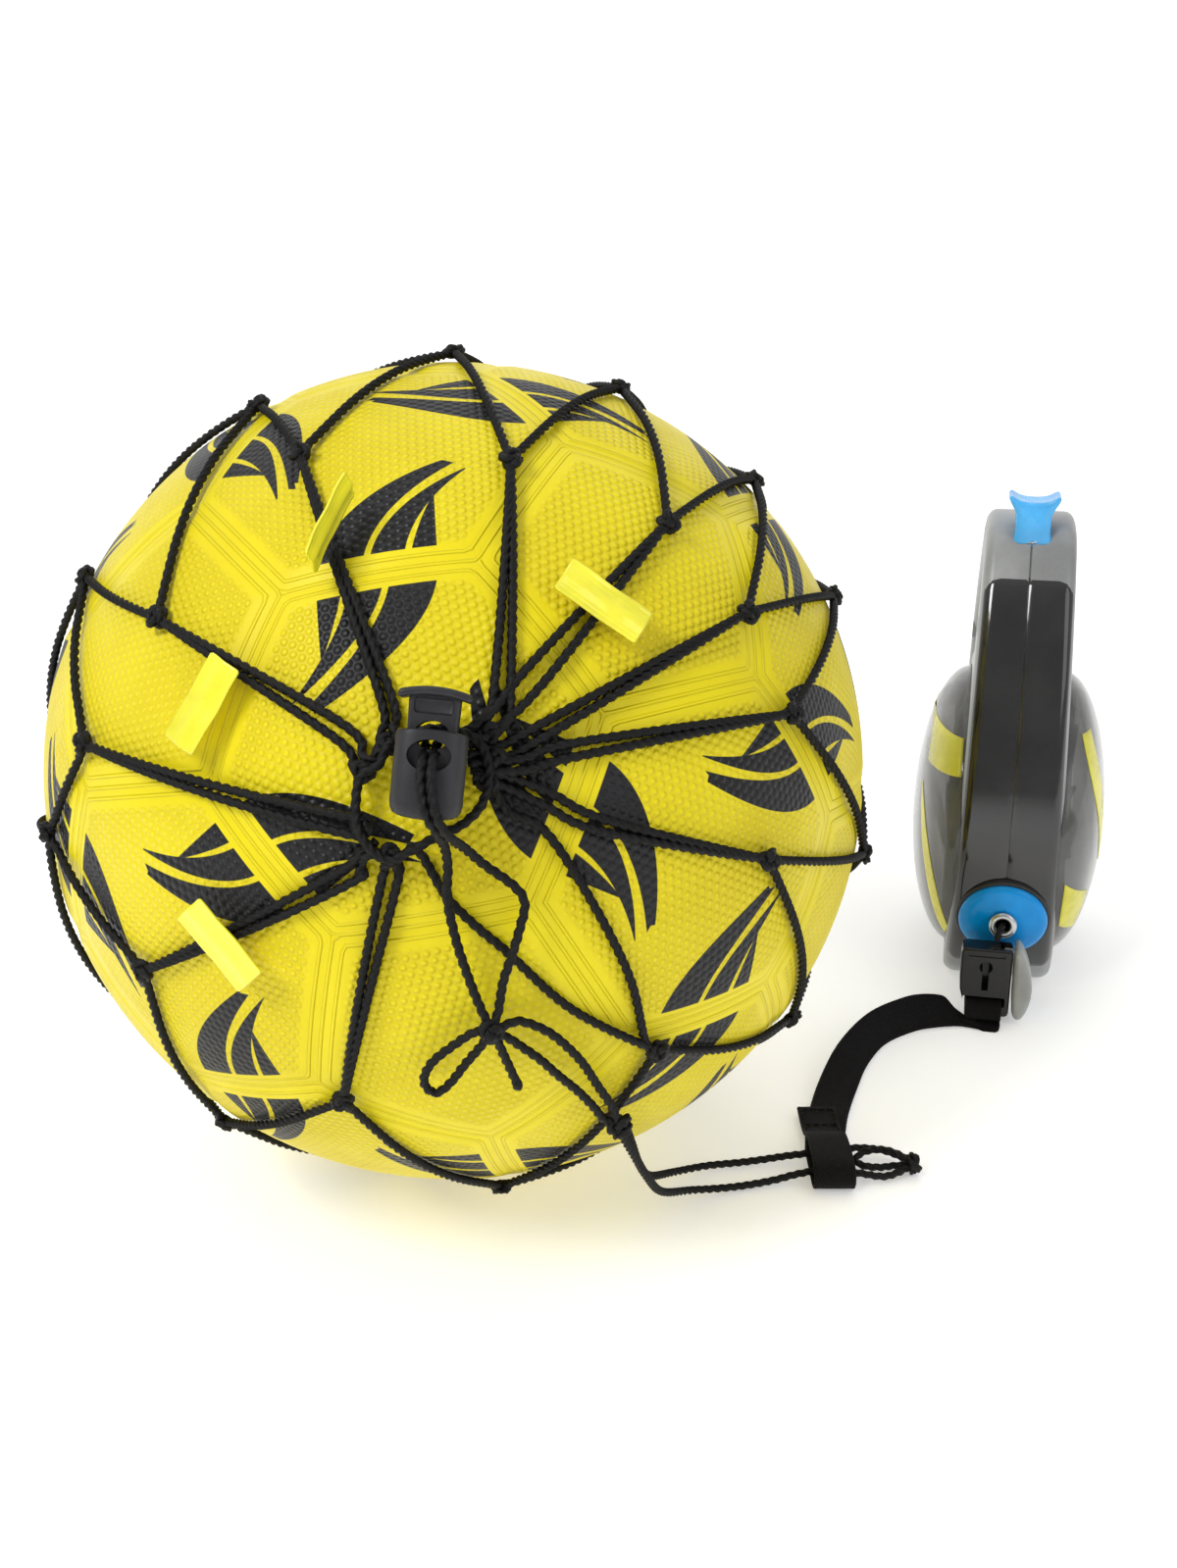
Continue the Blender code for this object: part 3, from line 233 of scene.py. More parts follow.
def on_net(azimuth, polar, lift):
    """A place over the ball: clockwise from the top round the net's mouth, then away from it."""
    az, el = radians(MOUTH_AZIMUTH), radians(MOUTH_ELEVATION)
    pole = Vector((sin(az) * cos(el), -cos(az) * cos(el), sin(el)))
    right = Vector((0, 0, 1)).cross(pole).normalized()
    up = pole.cross(right)
    a, p = radians(azimuth), radians(polar)
    return BALL + (BALL_R + lift) * (cos(p) * pole + sin(p) * (sin(a) * right + cos(a) * up))


def tangent_matrix(place, turn):
    """A frame on the ball's skin: x right, y inwards, z up, turned clockwise as seen from outside."""
    inwards = (BALL - place).normalized()
    right = inwards.cross(Vector((0, 0, 1))).normalized()
    basis = Matrix((right, inwards, right.cross(inwards))).transposed()
    return Matrix.Translation(place * MM) @ (basis @ Matrix.Rotation(radians(turn), 3, "Y")).to_4x4()


def smooth(points, steps=6, closed=False):
    """Points read from a Catmull-Rom curve through the given ones."""
    points = [Vector(p) for p in points]
    count = len(points)
    out = []
    for i in range(count if closed else count - 1):
        if closed:
            p0, p1, p2, p3 = (points[(i + k) % count] for k in (-1, 0, 1, 2))
        else:
            p0, p1, p2, p3 = (points[min(max(i + k, 0), count - 1)] for k in (-1, 0, 1, 2))
        for s in range(steps):
            t = s / steps
            out.append(0.5 * (2 * p1 + (p2 - p0) * t + (2 * p0 - 5 * p1 + 4 * p2 - p3) * t * t
                              + (3 * p1 - p0 - 3 * p2 + p3) * t ** 3))
    return out if closed else out + [points[-1]]


def spaced(points, step):
    """The same line with its points a step apart."""
    lengths = [0.0]
    for a, b in zip(points, points[1:]):
        lengths.append(lengths[-1] + (b - a).length)
    count = max(2, ceil(lengths[-1] / step))
    out, i = [], 0
    for k in range(count + 1):
        want = lengths[-1] * k / count
        while i < len(lengths) - 2 and lengths[i + 1] < want:
            i += 1
        span = lengths[i + 1] - lengths[i] or 1.0
        out.append(points[i].lerp(points[i + 1], min(1.0, (want - lengths[i]) / span)))
    return out


def ramp(value, low, high):
    """0 below low, 1 above high and smooth between."""
    t = min(1.0, max(0.0, (value - low) / (high - low)))
    return t * t * (3 - 2 * t)


# ---- materials ----

def new_material(name, colour, roughness, **sockets):
    """A Principled material and its tree; sockets are the shader's own inputs by name."""
    made = bpy.data.materials.new(name)
    made.use_nodes = True
    shader = made.node_tree.nodes["Principled BSDF"]
    shader.inputs["Base Color"].default_value = (*colour, 1.0)
    shader.inputs["Roughness"].default_value = roughness
    for key, value in sockets.items():
        shader.inputs[key.replace("_", " ")].default_value = value
    return made


def add(tree, kind, *values, out=0, **settings):
    """A node whose inputs take the values or links in turn; the output is returned."""
    made = tree.nodes.new("ShaderNode" + kind)
    for key, value in settings.items():
        setattr(made, key, value)
    for slot, value in zip(made.inputs, values):
        if isinstance(value, bpy.types.NodeSocket):
            tree.links.new(value, slot)
        elif value is not None:
            slot.default_value = value
    return made.outputs[out]


def maths(tree, operation, *values):
    return add(tree, "Math", *values, operation=operation)


def noise(tree, place, scale, detail=2.0, roughness=0.5):
    made = tree.nodes.new("ShaderNodeTexNoise")
    tree.links.new(place, made.inputs["Vector"])
    for key, value in (("Scale", scale), ("Detail", detail), ("Roughness", roughness)):
        made.inputs[key].default_value = value
    return made.outputs["Fac"]


def between(tree, value, low, high, to_low=0.0, to_high=1.0):
    """The value mapped smoothly from low..high to to_low..to_high."""
    made = tree.nodes.new("ShaderNodeMapRange")
    made.interpolation_type = "SMOOTHSTEP"
    tree.links.new(value, made.inputs["Value"])
    for key, number in (("From Min", low), ("From Max", high), ("To Min", to_low), ("To Max", to_high)):
        made.inputs[key].default_value = number
    return made.outputs["Result"]


def mix_colour(tree, factor, first, second):
    made = tree.nodes.new("ShaderNodeMix")
    made.data_type = "RGBA"
    tree.links.new(factor, made.inputs["Factor"])
    for key, value in (("A", first), ("B", second)):
        slot = next(s for s in made.inputs if s.name == key and s.type == "RGBA")
        if isinstance(value, bpy.types.NodeSocket):
            tree.links.new(value, slot)
        else:
            slot.default_value = (*value, 1.0)
    return next(s for s in made.outputs if s.type == "RGBA")


def axes(tree, vector):
    """The x, y and z of a vector."""
    made = tree.nodes.new("ShaderNodeSeparateXYZ")
    tree.links.new(vector, made.inputs[0])
    return made.outputs


def set_bump(material, height, distance):
    tree = material.node_tree
    made = tree.nodes.new("ShaderNodeBump")
    made.inputs["Distance"].default_value = distance * MM
    tree.links.new(height, made.inputs["Height"])
    tree.links.new(made.outputs["Normal"], tree.nodes["Principled BSDF"].inputs["Normal"])


def link(material, value, slot):
    material.node_tree.links.new(value, material.node_tree.nodes["Principled BSDF"].inputs[slot])


def moulded(name, colour, roughness, grain=0.02, grain_scale=2600.0, **sockets):
    """Moulded plastic or rubber: fine grain, faint flow marks and an uneven sheen."""
    made = new_material(name, colour, roughness, **sockets)
    tree = made.node_tree
    place = add(tree, "TexCoord", out=3)
    fine = noise(tree, place, grain_scale, 3.0)
    broad = noise(tree, place, 45.0, 4.0, 0.6)
    dark = tuple(c * 0.8 for c in colour)
    light = tuple(min(1.0, c * 1.15 + 0.004) for c in colour)
    link(made, mix_colour(tree, between(tree, broad, 0.3, 0.7), dark, light), "Base Color")
    calc = partial(maths, tree)
    sheen = calc("ADD", calc("MULTIPLY", broad, 0.7), calc("MULTIPLY", fine, 0.3))
    link(made, between(tree, sheen, 0.3, 0.7, roughness * 0.8, min(1.0, roughness * 1.25)), "Roughness")
    set_bump(made, fine, grain)
    return made


def cord_material():
    """Twisted nylon: its UV runs along the cord in millimetres, and round it with the strands."""
    made = new_material("black_cord", (0.005, 0.005, 0.005), 0.42, Specular_IOR_Level=0.25)
    tree = made.node_tree
    uv = add(tree, "TexCoord", out=2)
    fibre = noise(tree, add(tree, "Mapping", uv, None, None, (0.35, 26.0, 1.0)), 2.0, 3.0, 0.7)
    worn = between(tree, fibre, 0.35, 0.75)
    link(made, mix_colour(tree, worn, (0.0015, 0.0015, 0.0015), (0.010, 0.0095, 0.0095)), "Base Color")
    link(made, between(tree, fibre, 0.3, 0.7, 0.62, 0.42), "Roughness")
    set_bump(made, fibre, 0.09)
    return made


def web_material():
    """Woven webbing: ribs across it and a warp of paired yarns along it, from a UV in millimetres."""
    made = new_material("black_web", (0.005, 0.004, 0.005), 0.75, Specular_IOR_Level=0.16)
    tree = made.node_tree
    calc = partial(maths, tree)
    uv = add(tree, "TexCoord", out=2)
    along, across, _ = axes(tree, uv)
    rib_pitch, yarn_pitch = 1.3, 0.85
    rib = calc("SINE", calc("MULTIPLY", along, 2 * pi / rib_pitch))
    warp = calc("SINE", calc("MULTIPLY", across, 2 * pi / yarn_pitch))
    fuzz = noise(tree, uv, 5.0, 3.0, 0.7)
    height = calc("ADD", calc("MULTIPLY", calc("MULTIPLY", rib, warp), 0.5), fuzz)
    # Painted shade: the weave's hollows are coloured darker and its raised yarns lighter. The fuzz noise adds
    # uneven tone.
    raised = between(tree, height, -0.1, 1.1)
    link(made, mix_colour(tree, raised, (0.0012, 0.001, 0.0013), (0.009, 0.008, 0.009)), "Base Color")
    set_bump(made, height, 0.14)
    return made


# The printed blades: (start along the seam, width there, how much it sweeps, length, how blunt it is).
BLADES = ((-13.8, 6.2, 0.0, 20.0, 1.5), (-6.2, 7.8, 0.8, 28.0, 2.4), (3.1, 10.6, 1.0, 34.0, 4.0))


def ball_material():
    """Pebbled rubber: panels of raised dots, a smooth seam band with fine lines, and printed blades."""
    # deep is a darker yellow used for painted shade between the pebbles and for uneven tone from the worn
    # noise.
    yellow, deep, ink = (0.80, 0.67, 0.005), (0.60, 0.47, 0.004), (0.009, 0.009, 0.010)
    made = new_material("yellow_rubber", yellow, 0.42, Specular_IOR_Level=0.25)
    tree = made.node_tree
    calc = partial(maths, tree)
    uv = add(tree, "UVMap", uv_map="pebble")
    seam_node = tree.nodes.new("ShaderNodeAttribute")
    seam_node.attribute_name = "seam"
    seam = calc("ABSOLUTE", seam_node.outputs["Fac"])
    half_x, half_y = PEBBLE_PITCH / 2, PEBBLE_PITCH * sqrt(3) / 2
    domes = []
    for shift in ((0.0, 0.0, 0.0), (half_x, half_y, 0.0)):
        moved = add(tree, "VectorMath", uv, shift, operation="ADD")
        wrapped = add(tree, "VectorMath", moved, (half_x, half_y, 1.0), (-half_x, -half_y, -1.0),
                      operation="WRAP")
        domes.append(add(tree, "VectorMath", wrapped, operation="LENGTH", out=1))
    dome = between(tree, calc("MINIMUM", *domes), 0.3, 1.12, 1.0, 0.0)
    place = add(tree, "TexCoord", out=3)
    worn = noise(tree, place, 28.0, 3.0, 0.6)
    inside = between(tree, seam, 4.2, 6.0)
    pebbles = calc("MULTIPLY", dome, inside)
    pebbles = calc("MULTIPLY", pebbles, between(tree, worn, 0.3, 0.6, 0.65, 1.0))
    line = calc("COSINE", calc("MULTIPLY", seam, 2 * pi / SEAM_LINE_PITCH))
    line = between(tree, line, 0.2, 1.0)
    line = calc("MULTIPLY", line, between(tree, seam, 3.2, 3.5, 1.0, 0.0))
    fine = noise(tree, place, 1500.0, 2.0)
    height = calc("ADD", calc("ADD", pebbles, calc("MULTIPLY", line, 0.9)), calc("MULTIPLY", fine, 0.12))
    set_bump(made, height, 0.34)

    s, t, _ = axes(tree, add(tree, "UVMap", uv_map="ink"))
    depth = calc("MAXIMUM", t, 0.0)
    sweep = calc("ADD", calc("MULTIPLY", depth, 0.05), calc("MULTIPLY", calc("POWER", depth, 2.0), 0.024))
    mask = None
    for start, wide, pull, tip, blunt in BLADES:
        reach = calc("ADD", s, calc("MULTIPLY", sweep, pull))
        share = calc("POWER", calc("MINIMUM", calc("DIVIDE", depth, tip), 1.0), blunt)
        span = calc("MULTIPLY", calc("SUBTRACT", 1.0, share), wide)
        left = between(tree, reach, start - 0.12, start + 0.12)
        over = calc("SUBTRACT", reach, calc("ADD", span, start))
        blade = calc("MULTIPLY", left, between(tree, over, -0.12, 0.12, 1.0, 0.0))
        blade = calc("MULTIPLY", blade, between(tree, t, tip - 0.6, tip - 0.2, 1.0, 0.0))
        mask = blade if mask is None else calc("MAXIMUM", mask, blade)
    mask = calc("MULTIPLY", mask, between(tree, t, 4.6, 4.8))
    # Painted shade: the hollows between the pebbles are coloured darker. The worn noise adds uneven tone on
    # top.
    valley_shade = calc("MULTIPLY", calc("SUBTRACT", 1.0, dome), inside)
    shade_and_tone = calc("ADD", calc("MULTIPLY", valley_shade, 0.32), between(tree, worn, 0.35, 0.75, 0.0, 0.35))
    base = mix_colour(tree, shade_and_tone, yellow, deep)
    inked = mix_colour(tree, between(tree, worn, 0.4, 0.7), ink, (0.016, 0.016, 0.018))
    link(made, mix_colour(tree, mask, base, inked), "Base Color")
    link(made, between(tree, worn, 0.3, 0.7, 0.34, 0.50), "Roughness")
    return made


def smoke_material():
    made = moulded("smoke", (0.17, 0.17, 0.165), 0.12, grain=0.004, IOR=1.5, Coat_Weight=0.3)
    tree = made.node_tree
    facing = add(tree, "LayerWeight", 0.35, out=1)
    link(made, between(tree, facing, 0.1, 0.95, 0.50, 0.72), "Alpha")
    return made


def floor_material():
    made = new_material("floor", (0.93, 0.93, 0.925), 0.7, Emission_Strength=0.35)
    tree = made.node_tree
    grain = noise(tree, add(tree, "TexCoord", out=3), 260.0, 4.0)
    link(made, mix_colour(tree, grain, (0.925, 0.925, 0.92), (0.94, 0.94, 0.935)), "Base Color")
    link(made, mix_colour(tree, grain, (0.97, 0.97, 0.97), (1.0, 1.0, 1.0)), "Emission Color")
    set_bump(made, grain, 0.02)
    return made


PAINTS = {
    "cord": cord_material(), "web": web_material(), "ball": ball_material(), "smoke": smoke_material(),
    "tag": moulded("yellow_tag", (0.84, 0.78, 0.03), 0.2, grain=0.03, grain_scale=900.0, Coat_Weight=0.6),
    "steel": moulded("steel", (0.52, 0.53, 0.54), 0.28, grain=0.008, grain_scale=1800.0, Metallic=1.0),
    "floor": floor_material(),
    "charcoal": moulded("charcoal", (0.020, 0.020, 0.023), 0.42, grain=0.03, Specular_IOR_Level=0.35),
    "clip": moulded("clip_black", (0.008, 0.008, 0.008), 0.22, grain=0.012, Specular_IOR_Level=0.4),
    "grey": moulded("reel_grey", (0.265, 0.272, 0.275), 0.34, grain=0.012),
    "gloss": moulded("gloss_black", (0.014, 0.014, 0.015), 0.13, grain=0.003, grain_scale=400.0,
                     Coat_Weight=0.5, Coat_Roughness=0.04),
    "blue": moulded("blue", (0.0, 0.30, 0.80), 0.24, grain=0.008, Specular_IOR_Level=0.3),
    "button": moulded("button_blue", (0.07, 0.42, 0.85), 0.24, grain=0.008, Subsurface_Weight=0.15,
                      Subsurface_Scale=0.004),
    "lever": moulded("grey_lever", (0.34, 0.35, 0.34), 0.36, grain=0.02),
    "nylon": moulded("nylon", (0.42, 0.42, 0.40), 0.5, grain=0.02),
    "butyl": moulded("butyl", (0.022, 0.022, 0.022), 0.6, grain=0.03),
    "decal": moulded("yellow_decal", (0.72, 0.67, 0.05), 0.3, grain=0.006),
    "recess": moulded("recess_grey", (0.09, 0.092, 0.09), 0.4, grain=0.02),
}


# ---- pieces ----

def placed(name, data):
    """A new object in the scene."""
    made = bpy.data.objects.new(name, data)
    bpy.context.scene.collection.objects.link(made)
    return made


def piece(name, mesh, paint, body=ROOT, replaces=(), sharp=None):
    """A finished mesh in metres as an object that rides on a body, or on none for the caller to place."""
    made = placed(name, mesh)
    mesh.materials.clear()
    mesh.materials.append(PAINTS[paint])
    mesh.polygons.foreach_set("use_smooth", [True] * len(mesh.polygons))
    if sharp:
        mesh.set_sharp_from_angle(angle=radians(sharp))
    if body:
        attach(made, body)
    if replaces:
        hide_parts(*replaces)
    return made


def reel_piece(name, mesh, paint, **settings):
    """A piece whose mesh is in the reel's own frame."""
    mesh.transform(REEL_MATRIX)
    piece(name, mesh, paint, **settings)


def mesh_of(verts, faces, uvs=None):
    """A mesh in metres from millimetre points; uvs holds one pair for each corner."""
    mesh = bpy.data.meshes.new("shape")
    mesh.from_pydata([Vector(v) * MM for v in verts], [], faces)
    if uvs:
        layer = mesh.uv_layers.new(name="UVMap")
        layer.data.foreach_set("uv", [c for pair in uvs for c in pair])
    mesh.validate()
    mesh.update()
    return mesh


def mesh_from(shape, name, scale=1.0):
    """The bmesh, scaled, as a mesh; the bmesh goes."""
    if scale != 1.0:
        bmesh.ops.scale(shape, vec=(scale,) * 3, verts=shape.verts)
    mesh = bpy.data.meshes.new(name)
    shape.to_mesh(mesh)
    shape.free()
    return mesh


def quads(rows, count, first=0, wrap=True):
    """The faces between rows of points, each row closed into a ring or left open."""
    out = []
    for i in range(rows - 1):
        low, high = first + i * count, first + (i + 1) * count
        for k in range(count if wrap else count - 1):
            n = (k + 1) % count
            out.append((low + k, low + n, high + n, high + k))
    return out


def frames_along(points, closed=False):
    """Two directions across a line at each of its points, carried along it without twisting."""
    count = len(points)
    ways = []
    for i in range(count):
        a = points[(i - 1) % count if closed else max(i - 1, 0)]
        b = points[(i + 1) % count if closed else min(i + 1, count - 1)]
        ways.append((b - a).normalized())
    side = ways[0].orthogonal().normalized()
    out = []
    for way in ways:
        side = (side - way * side.dot(way)).normalized()
        out.append((side, way.cross(side)))
    return out


class Rope:
    """Collects twisted three-strand cords into one mesh."""
    sides = 12
    lobe = (0.64, 0.87, 1.0, 0.87)
    end_sizes = (0.72, 0.93, 1.0)

    def __init__(self, diameter=CORD_D, lay=7.2, step=0.62):
        self.radius, self.lay, self.step = diameter / 2, lay, step
        self.verts, self.faces, self.uvs = [], [], []

    def run(self, points, closed=False, thin_ends=True):
        """One cord along the points; returns its centreline in metres."""
        line = spaced(points + points[:1] if closed else points, self.step)
        if closed:
            line = line[:-1]
        sides = self.sides
        start = len(self.verts)
        count = len(line)
        turns = round(count * self.step / self.lay * 3) / 3
        along = 0.0
        marks = []
        for i, (point, (a, b)) in enumerate(zip(line, frames_along(line, closed))):
            twist = 2 * pi * turns * i / count
            end = min(i, count - 1 - i)
            size = self.radius * (1.0 if closed or not thin_ends else self.end_sizes[min(end, 2)])
            for k in range(sides):
                angle = 2 * pi * k / sides
                reach = size * self.lobe[k % 4]
                self.verts.append(point + reach * (cos(angle + twist) * a + sin(angle + twist) * b))
            marks.append(along)
            along += self.step
        rows = count if closed else count - 1
        for i in range(rows):
            low, high = start + i * sides, start + (i + 1) % count * sides
            for k in range(sides):
                after = (k + 1) % sides
                self.faces.append((low + k, low + after, high + after, high + k))
                self.uvs += [(marks[i], k / sides), (marks[i], (k + 1) / sides),
                             (marks[i] + self.step, (k + 1) / sides), (marks[i] + self.step, k / sides)]
        if not closed:
            for ring, flip in ((start, True), (start + (count - 1) * sides, False)):
                loop = list(range(ring, ring + sides))
                self.faces.append(tuple(reversed(loop)) if flip else tuple(loop))
                self.uvs += [(0.0, k / sides) for k in range(sides)]
        return [p * MM for p in line]

    def knot(self, centre, outwards, size=0.72, turn=0.0):
        """A small overhand lump."""
        outwards = outwards.normalized()
        a = Matrix.Rotation(turn, 3, outwards) @ outwards.orthogonal().normalized()
        b = outwards.cross(a)
        loop = []
        steps = 48
        for i in range(steps):
            t = 2 * pi * i / steps
            reach = 2.0 + cos(3 * t)
            loop.append(centre + size * (reach * cos(2 * t) * a + reach * sin(2 * t) * b
                                         + 1.25 * sin(3 * t) * outwards))
        self.run(loop, closed=True)

    def made(self, name, body=ROOT, replaces=()):
        return piece(name, mesh_of(self.verts, self.faces, uvs=self.uvs), "cord", body, replaces)


# ---- camera, floor and lights ----

def make_stage():
    scene = bpy.context.scene
    camera = placed("camera", bpy.data.cameras.new("camera"))
    camera.data.lens = CAMERA_LENS
    camera.data.sensor_width = camera.data.sensor_height = SENSOR
    camera.data.sensor_fit = "VERTICAL"
    camera.data.clip_start = 0.01
    camera.location = (BALL + CAMERA_AT) * MM
    camera.rotation_euler = (radians(CAMERA_TILT), 0.0, 0.0)
    scene.camera = camera
    scene.view_settings.view_transform = "Standard"

    reach, rise, depth, bend = 2.4, 2.4, 1.4, 0.8
    profile = [(-reach, 0.0), (-0.6, 0.0), (0.6, 0.0)]
    for k in range(25):
        a = pi / 2 * k / 24
        profile.append((depth - bend + bend * sin(a), bend - bend * cos(a)))
    profile.append((depth, rise))
    verts = [(x / MM, y / MM, z / MM) for y, z in profile for x in (-reach, reach)]
    faces = [(2 * i, 2 * i + 1, 2 * i + 3, 2 * i + 2) for i in range(len(profile) - 1)]
    piece("floor", mesh_of(verts, faces), "floor", body=None)

    world = bpy.data.worlds.new("studio")
    world.use_nodes = True
    tree = world.node_tree
    _, y, z = axes(tree, add(tree, "TexCoord"))
    forward = between(tree, y, -0.75, 0.15, 0.35, 0.6)
    above = between(tree, z, 0.25, 0.85, 0.0, 0.6)
    strength = maths(tree, "MAXIMUM", forward, above)
    tree.nodes["Background"].inputs[0].default_value = (1.0, 1.0, 1.0, 1.0)
    tree.links.new(strength, tree.nodes["Background"].inputs[1])
    scene.world = world
    for name, place, size, power in LIGHTS:
        light = placed(name, bpy.data.lights.new(name, "AREA"))
        light.data.size = size
        light.data.energy = power
        light.location = place
        aim = Vector((0.0, 0.0, 0.08)) - light.location
        light.rotation_euler = aim.to_track_quat("-Z", "Y").to_euler()


# ---- cords ----

def cord(name, route, replaces):
    """A free cord along its route."""
    rope = Rope()
    path = rope.run(route)
    made = rope.made(name, replaces=replaces)


def lumps(name, node, *knots):
    """One knot out of overhand lumps, each a centre, a way out, a size and a turn."""
    rope = Rope()
    for knot in knots:
        rope.knot(*knot)
    return rope.made(name, replaces=(node,))


def make_cords():
    def over(points):
        return [over_ball(*p) for p in points]

    knot = over_ball(*BOW_KNOT)
    bow_knot = lumps("bow_knot_wraps", "bow_knot", (knot, knot - BALL, 0.66, 0.4),
                     (knot + Vector((0.3, -0.5, -0.3)), Vector((1.0, -0.4, 0.3)), 0.46))
    hitch = over_ball(*HITCH)
    hitch_knot = lumps("tether_hitch_wraps", "net_hitch", (hitch, hitch - BALL, 0.80, 1.0),
                       (hitch + Vector((0.6, 0.4, -1.6)), Vector((0.6, -0.5, -1.0)), 0.62))
    end = by_ball(*END_KNOT)
    end_knot = lumps("end_knot_wraps", "tether_end_knot",
                     (end + Vector((0.0, 0.0, 0.2)), Vector((1.0, 0.1, 0.2)), 0.74))

    left = smooth([*over(IN_LOCK_LEFT), *over(STRAND_LEFT), knot, *over(BOW_LOOP), knot])
    cord("draw_cord_left", left, ("draw_strand_left", "bow_loop"))
    right = smooth([*over(IN_LOCK_RIGHT), *over(STRAND_RIGHT), knot, *over(BOW_TAIL)])
    tip = right[-1]
    cap = Rope(diameter=2.5, lay=14.0)
    cap.run([tip + (right[-2] - tip).normalized() * 2.6, tip])
    tail_tip = cap.made("bow_tail_sealed_tip")
    cord("draw_cord_right", right, ("draw_strand_right", "bow_tail"))
    upper = smooth([knot, *over(TETHER_UPPER), hitch, *(by_ball(*p) for p in TETHER_LEFT), end,
                    *(by_ball(*p) for p in TETHER_FOLD), end])
    cord("tether_one", upper, ("tether_upper", "tether_left", "tether_fold"))
    lower = smooth([knot, *over(TETHER_LOWER), hitch, *(by_ball(*p) for p in TETHER_RIGHT), end])
    cord("tether_two", lower, ("tether_lower", "tether_right"))

    front = OUTLET.y - 6.8
    turn_r = 4.8
    route = [(0, DISC.y - k * 8.0, OUTLET.z) for k in range(6)] + [(0, front + 1, OUTLET.z)]
    for k in range(6):
        a = radians(15 * k)
        route.append((LEAD_AT_CLIP * k / 5, front - turn_r * sin(a), OUTLET.z - turn_r * (1 - cos(a))))
    rope = Rope(diameter=LEAD_D, lay=6.0)
    path = rope.run([by_reel(*p) for p in route])
    lead = rope.made("lead_cord", body="clip", replaces=("lead",))


# ---- webbing ----

def web_mesh(points, sides):
    """Webbing with rounded selvedges; returns its verts, faces and UVs in millimetres."""
    section = [(-0.5, 0.0), (-0.485, 0.42), (-0.44, 0.56), (-0.40, 0.46), (-0.2, 0.5), (0.0, 0.5), (0.2, 0.5),
               (0.40, 0.46), (0.44, 0.56), (0.485, 0.42), (0.5, 0.0)]
    section += [(x, -z) for x, z in reversed(section[1:-1])]
    # The selvedges stand above the cloth: this keeps the whole within the webbing's thickness.
    thick = WEB * 0.9
    verts, faces, uvs = [], [], []
    count = len(section)
    along = 0.0
    for i, (point, side) in enumerate(zip(points, sides)):
        before, after = points[max(i - 1, 0)], points[min(i + 1, len(points) - 1)]
        normal = (after - before).normalized().cross(side).normalized()
        for x, z in section:
            verts.append(point + side * x * WEB_WIDTH + normal * z * thick)
        if i:
            step = (point - points[i - 1]).length
            for k in range(count):
                n = (k + 1) % count
                a, b = (i - 1) * count, i * count
                faces.append((a + k, b + k, b + n, a + n))
                uvs += [(along, section[k][0] * WEB_WIDTH), (along + step, section[k][0] * WEB_WIDTH),
                        (along + step, section[n][0] * WEB_WIDTH), (along, section[n][0] * WEB_WIDTH)]
            along += step
    for ring in (tuple(range(count)), tuple(reversed(range(len(verts) - count, len(verts))))):
        faces.append(ring)
        uvs += [(0.0, section[k % count][0] * WEB_WIDTH) for k in range(count)]
    return verts, faces, uvs


def stitches(name, marks):
    """Short thread stitches, each from a start to an end with the direction out of the cloth."""
    rope = Rope(diameter=0.55, lay=2.0, step=0.3)
    for start, end, out in marks:
        middle = (start + end) / 2 + out * 0.22
        rope.run(smooth([start - out * 0.12, start.lerp(middle, 0.35) + out * 0.14, middle,
                         end.lerp(middle, 0.35) + out * 0.14, end - out * 0.12], 3))
    return rope.made(name)


def make_strap():
    """The webbing's lying run, its sewn loop and the loop that hangs on the clip."""
    steps = 8
    clip_points = [by_reel(*p) for p in smooth([(CLIP.x, y, z) for y, z in CLIP_LOOP], steps)]
    across = (REEL_MATRIX.to_3x3() @ Vector((1, 0, 0))).normalized()
    lying = smooth(STRAP_FLOOR, steps)
    points, sides = [], []
    for before, here, after in zip(lying[:1] + lying[:-1], lying, lying[1:] + lying[-1:]):
        lean = radians(here.z)
        along = Vector((after.x - before.x, after.y - before.y, 0)).normalized()
        points.append(by_ball(here.x, here.y, WEB / 2 + 0.2 + WEB_WIDTH / 2 * sin(lean)))
        sides.append(Vector((-along.y * cos(lean), along.x * cos(lean), -sin(lean))))
    loop_x = STRAP_FLOOR[-1][0] - 1.0
    loop = [by_ball(loop_x, *p) for p in smooth(STRAP_LOOP, steps)]
    start, first = clip_points[-1], points[0]
    p1 = start + (start - clip_points[-2]).normalized() * 5.0
    p2 = first - (points[1] - first).normalized() * 5.0
    joint, joint_sides = [], []
    for k in range(1, 8):
        t = k / 8
        joint.append((1 - t) ** 3 * start + 3 * (1 - t) ** 2 * t * p1 + 3 * (1 - t) * t * t * p2
                     + t ** 3 * first)
        joint_sides.append(across.lerp(sides[0], t).normalized())
    chain = clip_points + joint + points + loop
    chain_sides = [across] * len(clip_points) + joint_sides + sides + [Vector((1, 0, 0))] * len(loop)
    line, line_sides = [chain[0]], [chain_sides[0]]
    least_step = 0.35
    for place, side in zip(chain[1:], chain_sides[1:]):
        if (place - line[-1]).length > least_step:
            line.append(place)
            line_sides.append(side)
    verts, faces, uvs = web_mesh(line, line_sides)
    made = piece("strap_webbing", mesh_of(verts, faces, uvs=uvs), "web", body=None)
    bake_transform(made)
    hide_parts("strap", "strap_clip_loop")

    marks = []
    top = Vector((0, 0, 1))
    for x in (-4.4, 4.4):
        for k in range(7):
            y = -10.5 + k * 2.2
            low = 0.72 + (3.5 if y < -8 else 2.6)
            marks.append((by_ball(loop_x + x, y, low - 0.3), by_ball(loop_x + x, y + 1.5, low - 0.3), top))
    for y in (-4.0, 4.2):
        for k in range(4):
            x = -4.4 + k * 2.35
            marks.append((by_ball(loop_x + x, y, 2.92), by_ball(loop_x + x + 1.6, y, 2.92), top))
    sewing = stitches("strap_loop_stitches", marks)


# ---- the ball and its net ----

